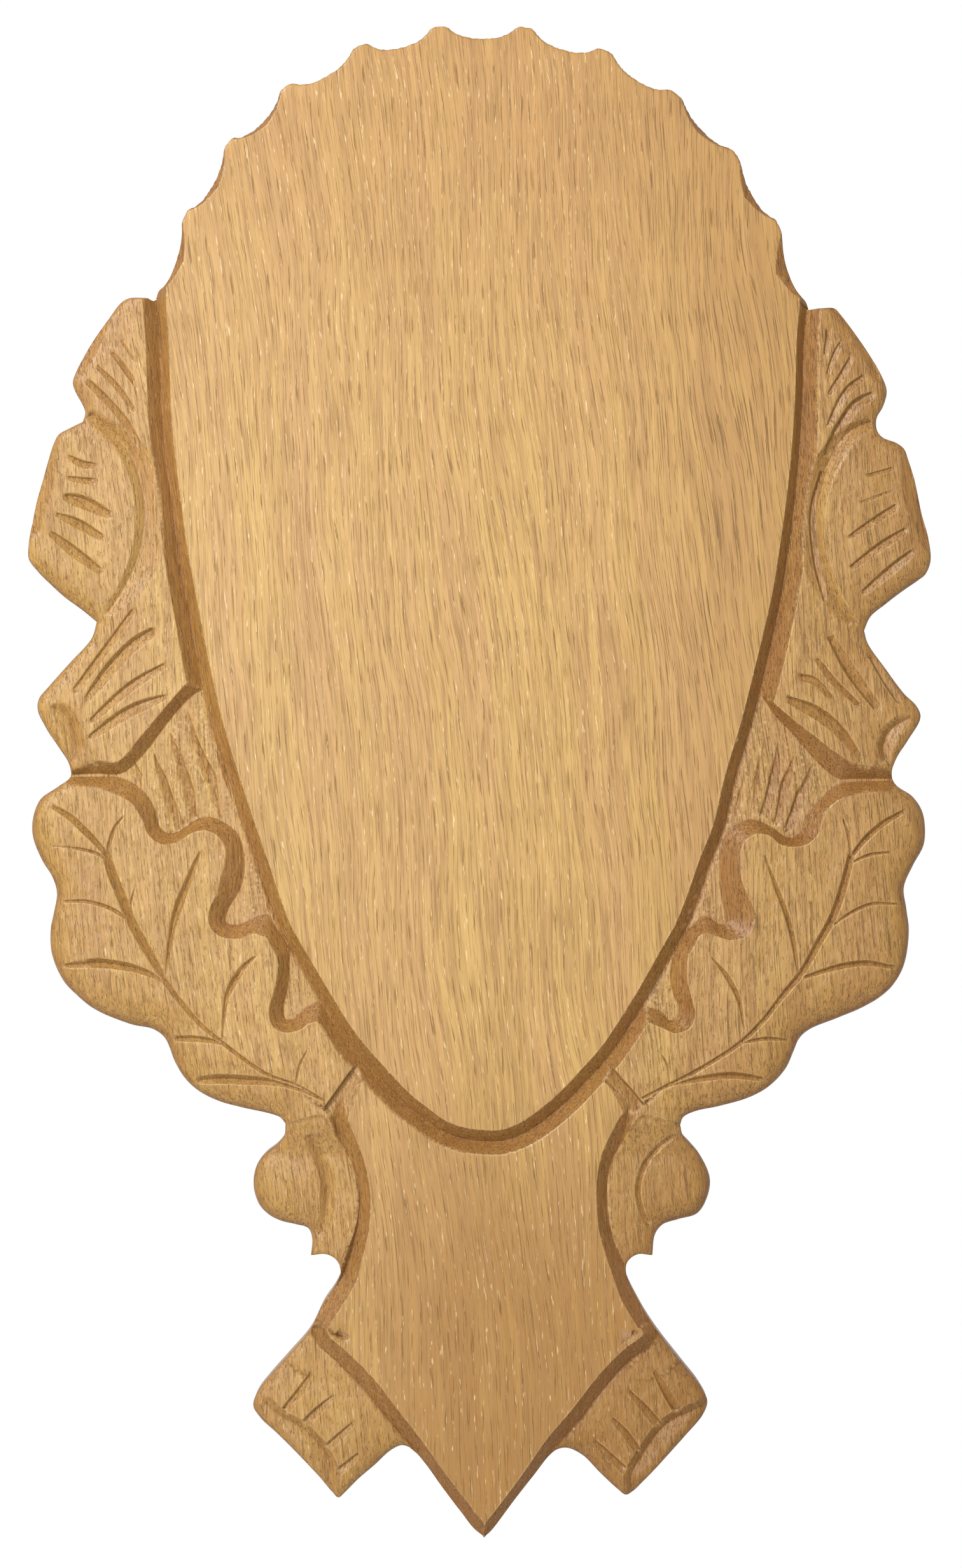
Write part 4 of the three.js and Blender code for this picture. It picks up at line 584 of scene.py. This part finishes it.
# The cuts that border the flat shield and tail: the soft swell of the carving dies out towards them.
FLAT_SIDED = [0, 11, 12, 13, 14]
grounds = [(smooth(edge), smooth(foot), np.array(shut, float)) for edge, foot, shut in GROUNDS]
lowered = [(deep, smooth(around + around[:1], 2)[0][:-1], top) for deep, around, top in LOWERED]
veins = [(smooth(points, 1.1), wide) for points, wide in VEINS]
strokes = []
for points, wide in STROKES:
    dx, dz = np.subtract(points[-1], points[0])
    strokes.append((smooth(points, 1.1), np.array(wide) * 1.6, 0.45 if 0.6 * dz + 0.8 * dx > 0 else -0.45))
loop_line = loop_ring(OUTLINE)
closed = loop_line[0]
shield = np.vstack([smooth(SHIELD_EDGE)[0], crown_line()[0][::-1]])
tail = np.vstack([smooth(STEP_CUTS[10][0])[0], smooth(STEP_CUTS[12][0][1:-1])[0],
                  smooth(STEP_CUTS[13][0][1:-1])[0][::-1], smooth(STEP_CUTS[11][0])[0][::-1]])


def carved(points):
    """Depth behind the face, how much stain each point holds, 1 where a tool has been, and the distance to the
    outline.

    The rounded edges and the soft swell of leaf and acorn lie on top of the lowered areas. The deepest of that,
    the walls and the ground wins, and the V cuts and single strokes go on below it.
    """
    zero = np.zeros(len(points))
    flat = inside(points, shield) | inside(points, tail)
    rim = np.abs(locate(points, loop_line, 26)[0])
    depth, added, stain, added_stain, room = zero, zero, zero, zero, zero + 30
    for number, (cut, line) in enumerate(steps):
        deep, wall, beyond = step_depth(points, cut, line)
        if number in FLAT_SIDED:
            room = np.minimum(room, beyond)
        if cut[5] == ADDED:
            added_stain = np.where(deep > np.maximum(added, 0.1), np.where(wall, cut[6], cut[7]), added_stain)
            added = np.maximum(added, deep)
            continue
        stain = np.where(deep > np.maximum(depth, 0.1), np.where(wall, cut[6], cut[7]), stain)
        depth = np.maximum(depth, deep)
    form = zero
    for deep, loop, top in lowered:
        into = np.where(inside(points, loop), np.abs(locate(points, loop_ring(loop), 2)[0]), 0)
        slow = np.clip((top - points[:, 1]) / 16, 0.2, 1) if top else 1
        form = np.maximum(form, deep * np.clip(into / 0.9, 0, 1) * slow)
    swelling = 1.5 * (1 - rim / 26) ** 2 * np.clip(room / 10, 0, 1)
    form = form + np.where(flat, 0, swelling + chatter(points) * np.clip(room / 2.5, 0, 1))
    edge, bevel = zero, zero
    for line, wide, deep in edges_rounded:
        edge = np.maximum(edge, rounded_depth(points, line, wide, deep))
    for line, wide, deep in chamfers:
        off, at, past = locate(points, line, 8)
        share = np.where(off < 0, np.clip(1 + off / spread(wide, at), 0, 1), 0)
        bevel = np.maximum(bevel, spread(deep, at) * share * (past <= 0))
    form = form + np.maximum(edge, bevel)
    skin = np.where(flat, 0, 0.15 + 0.35 * (1 - rim / 26) ** 2)
    dark_rim = np.maximum(skin, np.maximum(0.9 * np.clip(edge / 2.2, 0, 1), bevel > 0.1))
    stain = np.where(form > depth, dark_rim, stain)
    depth = np.maximum(depth, form)
    for edge_line, foot_line, shut in grounds:
        ground, floor = ground_depth(points, edge_line, foot_line, shut)
        passes = ground + gouge_passes(points) * np.clip(floor / 1.5, 0, 1)
        here = passes > depth
        stain = np.where(here & (ground > 0.1), np.where(floor > 0.15, 0.12, 1), stain)
        depth = np.where(here, passes, depth)
    for line, wide in veins:
        added = np.maximum(added, v_depth(points, line, wide, 1.15))
    for line, wide, lean in strokes:
        added = np.maximum(added, stroke_depth(points, line, wide, 0.8, lean))
    added_stain = np.where((added > 0.1) & (added_stain == 0), 0.5, added_stain)
    return depth + added, np.maximum(stain, added_stain), np.where(flat & (depth < 0.1), 0, 1), rim


# %% [markdown]
# ## The mesh
# A plain grid would need millions of points to show a crisp edge. A triangulation can follow the lines
# instead: the edges and bottoms of the cuts go in as fixed lines, the carved parts are filled with a fine
# honeycomb of points, and the flat shield and tail with a coarse one.

# %% Gather points and fixed lines


def kept_runs(xz, loop_line):
    """Breaks a line where it leaves the board, and drops what comes too near the outline."""
    keep = inside(xz, OUTLINE) & (np.abs(locate(xz, loop_line, 3)[0]) > 0.45)
    cuts = np.flatnonzero(np.diff(np.concatenate([[0], keep.astype(int), [0]])))
    return [xz[a:b] for a, b in zip(cuts[::2], cuts[1::2]) if b - a > 1]


def feature_lines():
    """The edges and bottoms of all cuts, as fixed lines for the triangulation."""
    lines = []
    for (_, side, fall, rise, *_), line in steps:
        where = line[1]
        lines += [line[0], beside(line, side * spread(fall, where)),
                  beside(line, side * (spread(fall, where) + spread(rise, where)))]
    for edge, foot, _ in grounds:
        lines += [edge[0], foot[0]]
    for line, wide in veins:
        half = spread(wide, line[1]) / 2
        lines += [line[0], beside(line, half), beside(line, -half)]
    for line, wide, lean in strokes:
        half = swell(wide, line[1]) / 2
        lines += [beside(line, half * lean), beside(line, half), beside(line, -half)]
    for line, wide, _ in chamfers:
        lines.append(beside(line, -spread(wide, line[1])))
    for _, loop, _ in lowered:
        lines.append(loop_ring(loop)[0])
    return lines


runs = [run for line in feature_lines() for run in kept_runs(line, loop_line)]
print(len(runs), "fixed lines with", sum(map(len, runs)), "points")

# %% Fill the areas between
FINE, COARSE = 1.15, 4


def honeycomb(spacing):
    """A honeycomb of points over the outline's box, each with its row and column number."""
    low, high = OUTLINE.min(0), OUTLINE.max(0)
    rows = np.arange(low[1], high[1], spacing * math.sqrt(0.75))
    columns = np.arange(low[0], high[0], spacing)
    i, j = np.meshgrid(np.arange(len(rows)), np.arange(len(columns)), indexing="ij")
    x = columns[j] + np.where(i % 2, spacing / 2, 0)
    return np.column_stack([x.ravel(), rows[i].ravel()]), i.ravel(), j.ravel()


def marked(points, taken, radius, cell=0.2):
    """True where a point lies within a radius of any taken point, by marking small cells around those."""
    low = OUTLINE.min(0) - 5
    size = np.ceil((OUTLINE.max(0) + 5 - low) / cell).astype(int)
    grid = np.zeros(size, bool)
    base = np.floor((taken - low) / cell).astype(int)
    reach = round(radius / cell)
    for dx in range(-reach, reach + 1):
        for dz in range(-reach, reach + 1):
            if dx * dx + dz * dz <= reach * reach:
                grid[base[:, 0] + dx, base[:, 1] + dz] = True
    at = np.floor((points - low) / cell).astype(int)
    return grid[at[:, 0], at[:, 1]]


support = []
for run in runs:
    for offset in (-0.3, 0.3):
        support.append(run + left_normal(run) * offset)
for offset in (0.4, 1.0):
    support.append(closed[:-1] + left_normal(closed)[:-1] * offset)
support = np.vstack(support)
fixed = np.vstack([OUTLINE] + runs)
support = support[inside(support, OUTLINE) & ~marked(support, fixed, 0.2, 0.1)]

points, row, column = honeycomb(FINE)
within = inside(points, OUTLINE)
flat = inside(points, shield) | inside(points, tail)
near_feature = marked(points, fixed, 2.75)
keep = within & ~marked(points, np.vstack([fixed, support]), 0.6)
keep &= ~flat | near_feature | ((row % 4 == 0) & (column % 4 == 0))
filler = points[keep]
print("support", len(support), "filler", len(filler))

# %% Triangulate the front


def triangulate(fixed_runs, loop, loose):
    """The constrained triangulation inside a loop. Returns positions, triangles, and the loop's own indices."""
    parts, edges, start = [loop], [], len(loop)
    ring = np.arange(len(loop))
    edges.append(np.column_stack([ring, np.roll(ring, -1)]))
    for run in fixed_runs:
        number = np.arange(start, start + len(run))
        edges.append(np.column_stack([number[:-1], number[1:]]))
        parts.append(run)
        start += len(run)
    parts.append(loose)
    coordinates = [Vector(p) for p in np.vstack(parts).tolist()]
    made = delaunay_2d_cdt(coordinates, np.vstack(edges).tolist(), [], 1, 0.02)
    where = np.array([v[:] for v in made[0]])
    faces = np.array(made[2])
    origin = {source: index for index, sources in enumerate(made[3]) for source in sources if source < len(loop)}
    return where, faces, np.array([origin[i] for i in range(len(loop))])


front, front_faces, rim = triangulate(runs, OUTLINE, np.vstack([support, filler]))
depth, stain, tooled, rim_distance = carved(front)
print("front", len(front), "points,", len(front_faces), "triangles, deepest", round(float(depth.max()), 2), "mm")

# %% [markdown]
# ## Sides, back and hanging hole
# The sides are sawn straight back from the outline. The back is flat, and the blind hole that hangs on the
# wall screw is bored into it. Sides and back share the front's outline points, so the board is one closed skin.

# %% Close the board
HOLE_RADIUS, HOLE_DEPTH, HOLE_Z = 7, 14, 70


def board_mesh():
    """Positions in millimetres and triangles of the whole board: carved front, sawn sides, back, bored hole."""
    turns = np.linspace(0, 2 * np.pi, 48, endpoint=False)
    mouth = np.column_stack([HOLE_RADIUS * np.cos(turns), HOLE_Z + HOLE_RADIUS * np.sin(turns)])
    grid, i, j = honeycomb(9)
    loose = grid[inside(grid, OUTLINE) & (np.abs(locate(grid, loop_line, 4)[0]) > 3)]
    loose = loose[np.linalg.norm(loose - [0, HOLE_Z], axis=1) > HOLE_RADIUS + 3]
    ring_run = np.vstack([mouth, mouth[:1]])
    back, back_faces, back_rim = triangulate([ring_run], OUTLINE, loose)
    centre = back[back_faces].mean(1)
    back_faces = back_faces[np.linalg.norm(centre - [0, HOLE_Z], axis=1) > HOLE_RADIUS * 0.995]
    y_front = -THICKNESS + depth
    parts = [np.column_stack([front[:, 0], y_front, front[:, 1]])]
    faces = [front_faces]
    before, count = rim, len(front)
    for share in (0.1, 0.55, 0.9):
        parts.append(np.column_stack([OUTLINE[:, 0], y_front[rim] * (1 - share), OUTLINE[:, 1]]))
        after = np.arange(count, count + len(OUTLINE))
        faces += side_faces(before, after)
        before, count = after, count + len(OUTLINE)
    parts.append(np.column_stack([back[:, 0], np.zeros(len(back)), back[:, 1]]))
    faces += side_faces(before, back_rim + count)
    faces.append(back_faces[:, ::-1] + count)
    ring = np.array([np.linalg.norm(back - p, axis=1).argmin() for p in mouth]) + count
    count += len(back)
    parts.append(np.column_stack([mouth[:, 0], np.full(48, -HOLE_DEPTH), mouth[:, 1]]))
    floor = np.arange(count, count + 48)
    faces += side_faces(floor, ring)
    parts.append(np.array([[0, -HOLE_DEPTH - 1, HOLE_Z]]))
    faces.append(np.column_stack([np.roll(floor, -1), floor, np.full(48, count + 48)]))
    return np.vstack(parts), np.vstack(faces)


def side_faces(before, after):
    """A belt of triangles between two equal rings of points."""
    before_next, after_next = np.roll(before, -1), np.roll(after, -1)
    return [np.column_stack([before, after, after_next]), np.column_stack([before, after_next, before_next])]


positions, triangles = board_mesh()
mesh = bpy.data.meshes.new("carved_plaque")
mesh.from_pydata((positions * MM).tolist(), [], triangles.tolist())
mesh.validate()
mesh.shade_smooth()
plaque = bpy.data.objects.new("carved_plaque", mesh)
bpy.context.scene.collection.objects.link(plaque)
print("board", len(mesh.vertices), "points,", len(mesh.polygons), "triangles")

# %% [markdown]
# ## Where stain gathers, and where shade and highlights are painted
# Stain and lacquer darken cut walls and rounded edges more than the sanded faces, because a cut opens the ends
# of the fibres. Creases are darkened further as painted shade, and sharp edges are lightened, partly as sanding
# wear and partly as a painted highlight. Three numbers on each point say so, and the shader reads them as
# attributes.

# %% Measure the creases and edges


def bend(points, level, radius=0.35):
    """How far a point lies below the mean of four points around it: positive in a crease, negative on an edge."""
    around = [carved(points + np.array(step) * radius)[0] for step in ((1, 0), (-1, 0), (0, 1), (0, -1))]
    return level - np.mean(around, axis=0)


curve = bend(front, depth)
rest = len(positions) - len(front)
marks = {
    "stain": np.concatenate([stain, np.full(rest, 0.7)]),
    "tooled": np.concatenate([tooled, np.ones(rest)]),
    # Painted shade: the shader darkens the hollows by this mark.
    "shaded_crease": np.concatenate([np.clip(curve / 0.2, 0, 1), np.zeros(rest)]),
    # Partly sanding wear, partly a painted highlight: the shader lightens the sharp edges by this mark.
    "worn_and_highlit": np.concatenate([np.clip(-curve / 0.14, 0, 1) * np.clip((rim_distance - 1.5) / 2, 0, 1), np.zeros(rest)]),
}
for name, values in marks.items():
    attribute = mesh.attributes.new(name, "FLOAT", "POINT")
    attribute.data.foreach_set("value", values.astype(np.float32))
print("worn edges on", int((marks["worn_and_highlit"] > 0.5).sum()), "points, creases on", int((marks["shaded_crease"] > 0.5).sum()))

# %% [markdown]
# ## A way to write shader sums
# A procedural material is a long sum. Written as Python it stays readable: one class wraps a socket and turns
# +, -, * and / into Math nodes, and one method makes any other node.

# %% Wrap the shader nodes


class Value:
    """An output socket that can stand in a sum."""

    def __init__(self, paint, socket):
        self.paint, self.socket = paint, socket

    def _math(self, operation, *terms):
        return self.paint.node("ShaderNodeMath", {"operation": operation}, terms)

    def __add__(self, other):
        return self._math("ADD", self, other)

    def __sub__(self, other):
        return self._math("SUBTRACT", self, other)

    def __rsub__(self, other):
        return self._math("SUBTRACT", other, self)

    def __mul__(self, other):
        return self._math("MULTIPLY", self, other)

    def __truediv__(self, other):
        return self._math("DIVIDE", self, other)

    __radd__, __rmul__ = __add__, __mul__

    def between(self, low, high, soft="SMOOTHSTEP"):
        """0 below low, 1 above high, and a soft rise in between."""
        return self.paint.node("ShaderNodeMapRange", {"interpolation_type": soft, "clamp": True},
                               {"Value": self, "From Min": low, "From Max": high})


class Paint:
    """The nodes of a material or of the world, with the one shader that they feed."""

    def __init__(self, owner, shader="Principled BSDF"):
        owner.use_nodes = True
        self.owner, self.tree = owner, owner.node_tree
        self.shader = self.tree.nodes[shader]

    def node(self, kind, settings=None, inputs=(), output=0):
        """A new node: its settings first, then the values or links of its sockets."""
        made = self.tree.nodes.new(kind)
        for key, value in (settings or {}).items():
            setattr(made, key, value)
        for key, value in inputs.items() if isinstance(inputs, dict) else enumerate(inputs):
            if isinstance(value, Value):
                self.tree.links.new(value.socket, made.inputs[key])
            else:
                made.inputs[key].default_value = value
        return Value(self, made.outputs[output])

    def mix(self, factor, a, b, how="MIX"):
        """Two colours mixed by a factor."""
        made = self.tree.nodes.new("ShaderNodeMix")
        made.data_type, made.blend_type = "RGBA", how
        for socket, value in ((made.inputs[0], factor), (made.inputs[6], a), (made.inputs[7], b)):
            if isinstance(value, Value):
                self.tree.links.new(value.socket, socket)
            else:
                socket.default_value = value if not isinstance(value, tuple) else (*value, 1)
        return Value(self, made.outputs[2])

    def noise(self, where, scale=1.0, detail=2.0, rough=0.5):
        """Soft 3-D noise, about 0.5 in the middle."""
        return self.node("ShaderNodeTexNoise", {}, {"Vector": where, "Scale": scale, "Detail": detail,
                                                    "Roughness": rough})

    def attribute(self, name):
        """A number that the mesh carries at each point."""
        return self.node("ShaderNodeAttribute", {"attribute_name": name}, {}, "Fac")

    def vector(self, x, y, z):
        return self.node("ShaderNodeCombineXYZ", {}, (x, y, z))

    def parts(self, vector):
        """The three numbers of a vector."""
        split = self.node("ShaderNodeSeparateXYZ", {}, (vector,))
        return [Value(self, output) for output in split.socket.node.outputs]

    def feed(self, **sockets):
        """Links or sets the shader's own sockets."""
        for name, value in sockets.items():
            socket = self.shader.inputs[name.replace("_", " ")]
            if isinstance(value, Value):
                self.tree.links.new(value.socket, socket)
            else:
                socket.default_value = value


print("shader helpers ready")

# %% [markdown]
# ## Oak
# Oak is ring porous: each year leaves a row of open pores, so the face shows rows of short dark dashes along
# the grain, a few millimetres apart. Between them the colour drifts between pinkish and straw in streaks of all
# widths. The pattern is worked out in three dimensions, so it runs on down the carved walls as real grain does.
# The right of the board and its tail are painted darker and more brown, and the top pinker and darker: partly
# the wood's own tone, partly painted shade where the light falls off. Pale specks beside the pores on the left
# are a painted highlight.

# %% Mix the oak


def oak_material():
    paint = Paint(bpy.data.materials.new("oak"))
    place = paint.node("ShaderNodeTexCoord", {}, {}, "Object")
    x, y, z = (number * 1000 for number in paint.parts(place))

    sway = paint.noise(paint.vector(x / 62, y / 62, z / 150), 1, 1) - 0.5
    wobble = paint.noise(paint.vector(x / 15, y / 15, z / 45), 1, 1) - 0.5
    across = x + z * 0.09 + sway * 18 + wobble * 2.6

    def streaks(width, length, detail=2, rough=0.5, shift=0):
        """Noise drawn out along the grain: so wide and so long, in millimetres."""
        return paint.noise(paint.vector(across / width + shift, y / width, z / length), 1, detail, rough)

    broad = streaks(16, 300).between(0.35, 0.65)
    medium = streaks(4.2, 90, 2, 0.55, 7)
    narrow = streaks(1.6, 45, 2, 0.55, 13)
    fine = streaks(0.75, 24, 2, 0.6, 21)
    fibre = streaks(0.3, 6, 1, 0.5, 3)

    east = x.between(40, 90)
    ring = across / 3.1 + (streaks(30, 80, 1, 0.5, 5) - 0.5) * 2
    row = ring - ring._math("FLOOR", ring) - 0.5
    rows = 1 - row._math("ABSOLUTE", row).between(0.1, 0.32)
    pores = streaks(0.5, 14, 2, 0.5, 31).between(0.57, 0.68) * (0.3 + rows * 0.7)
    lines = streaks(0.5, 40, 2, 0.5, 43).between(0.6, 0.68) * (0.35 + east * 0.65)
    # Painted highlight: pale specks beside the pores, on the left side only.
    painted_glints = streaks(0.45, 5, 1, 0.5, 57).between(0.66, 0.72) * (1 - east) * rows

    stain, shaded_crease = paint.attribute("stain"), paint.attribute("shaded_crease")
    worn_and_highlit, tooled = paint.attribute("worn_and_highlit"), paint.attribute("tooled")
    # Partly the wood's own tone, partly painted shade: darker and more brown to the right and towards the tail.
    low = (0 - z).between(250, 380)
    browner_and_shaded = low * x.between(-75, 0) * 0.9 + x.between(40, 150) * 0.5
    # Partly the wood's own tone, partly painted shade: pinker and darker towards the top.
    rosy_and_shaded = z.between(-60, 120) * 0.6
    straw, pink = (0.487, 0.291, 0.078), (0.468, 0.262, 0.084)
    colour = paint.mix(broad, straw, pink)
    colour = paint.mix(rosy_and_shaded, colour, (0.395, 0.2, 0.06))
    colour = paint.mix(browner_and_shaded, colour, (0.31, 0.142, 0.026))
    colour = paint.mix(medium.between(0.45, 0.72) * 0.34, colour, (0.35, 0.185, 0.052))
    colour = paint.mix(medium.between(0.55, 0.3) * 0.2, colour, (0.58, 0.37, 0.11))
    colour = paint.mix(narrow.between(0.45, 0.72) * 0.6, colour, (0.32, 0.165, 0.046))
    colour = paint.mix(fine.between(0.45, 0.72) * 0.75, colour, (0.3, 0.155, 0.042))
    colour = paint.mix(pores * 0.8, colour, (0.22, 0.11, 0.033))
    colour = paint.mix(lines * 0.85, colour, (0.2, 0.1, 0.03))
    # The pale specks: a painted highlight.
    colour = paint.mix(painted_glints * 0.5, colour, (0.85, 0.66, 0.38))

    flecks = streaks(0.55, 3.4, 2, 0.5, 91).between(0.6, 0.7) * tooled
    mottle = streaks(1.3, 8, 3, 0.6, 97)
    colour = paint.mix(mottle.between(0.5, 0.75) * tooled * 0.3, colour, (0.3, 0.165, 0.048))
    colour = paint.mix(mottle.between(0.5, 0.25) * tooled * 0.25, colour, (0.62, 0.43, 0.17))
    colour = paint.mix(flecks * 0.4, colour, (0.2, 0.1, 0.03))
    patchy = streaks(2.2, 12, 2, 0.5, 80)
    colour = paint.mix(stain * (0.8 + patchy * 0.4), colour, (0.7, 0.575, 0.46), "MULTIPLY")
    # Painted shade in the hollows between surfaces.
    colour = paint.mix(shaded_crease * 0.7, colour, (0.62, 0.5, 0.4), "MULTIPLY")
    # Sharp edges lightened: partly sanding wear, partly a painted highlight.
    colour = paint.mix(worn_and_highlit * 0.4, colour, (0.62, 0.42, 0.18))

    nicks = paint.noise(paint.vector(x / 1.5, y / 1.5, z / 5), 1, 3, 0.6)
    height = fine * 0.5 + fibre * 0.2 - pores * 1.1 - lines * 1.1 - flecks + tooled * nicks * 2
    bump = paint.node("ShaderNodeBump", {}, {"Strength": 0.8, "Distance": 0.00022, "Height": height})
    rough = 0.4 + fine * 0.08 + pores * 0.15 - worn_and_highlit * 0.06
    paint.feed(Base_Color=colour, Roughness=rough, Normal=bump, Specular_IOR_Level=0.38,
               Coat_Weight=0.12, Coat_Roughness=0.35)
    return paint.owner


oak = oak_material()
mesh.materials.append(oak)
print("oak has", len(oak.node_tree.nodes), "nodes")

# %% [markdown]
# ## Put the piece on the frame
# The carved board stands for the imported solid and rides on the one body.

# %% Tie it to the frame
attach(plaque, "root")
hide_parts("oak_plaque")

# %% [markdown]
# ## Floor, light and camera
# A plaque hangs, so the pale floor lies well below it. Soft white light comes from all round, brightest from
# behind, where it makes the white backdrop. A soft lamp on the upper left models the relief, and one beside the
# camera gives the face its sheen. The camera looks straight at the face from two metres.

# %% Set the stage


def floor_mesh(half=1.6, level=-1.6):
    """A plain square floor."""
    made = bpy.data.meshes.new("studio_floor")
    made.from_pydata([(-half, -half, level), (half, -half, level), (half, half, level), (-half, half, level)], [],
                     [(0, 1, 2, 3)])
    return made


def lamp(name, place, target, size, watts):
    """A square area lamp at a place, turned to a target."""
    data = bpy.data.lights.new(name, "AREA")
    data.size, data.energy = size, watts
    made = bpy.data.objects.new(name, data)
    made.location = place
    made.rotation_euler = (Vector(target) - Vector(place)).to_track_quat("-Z", "Y").to_euler()
    bpy.context.scene.collection.objects.link(made)
    return made


floor = bpy.data.objects.new("studio_floor", floor_mesh())
bpy.context.scene.collection.objects.link(floor)
pale = Paint(bpy.data.materials.new("pale_floor"))
pale.feed(Base_Color=(0.85, 0.85, 0.84, 1), Roughness=0.9)
floor.data.materials.append(pale.owner)

world = bpy.data.worlds.new("studio")
sky = Paint(world, "Background")
_, behind, _ = sky.parts(sky.node("ShaderNodeTexCoord", {}, {}, "Generated"))
sky.feed(Color=(1, 1, 1, 1), Strength=0.5 + behind.between(0.05, 0.4, "LINEAR") * 0.5)
bpy.context.scene.world = world
bpy.context.scene.view_settings.view_transform = "Standard"
centre = (0, 0, -0.16)
lamp("key", (-0.8, -1.35, 0.75), centre, 0.6, 28)
lamp("sheen", (-0.35, -2.05, -0.05), centre, 0.5, 15)

# %% Aim the camera
PHOTO_HEIGHT_MM = 2464 * 0.2525
DISTANCE = 2.0
camera_data = bpy.data.cameras.new("camera")
camera_data.sensor_width = 36
camera_data.lens = 36 * DISTANCE / (PHOTO_HEIGHT_MM * MM)
camera = bpy.data.objects.new("camera", camera_data)
camera.location = (-0.00076, board_low[1] - DISTANCE, -0.1624)
camera.rotation_euler = (math.radians(90), 0, 0)
bpy.context.scene.collection.objects.link(camera)
bpy.context.scene.camera = camera
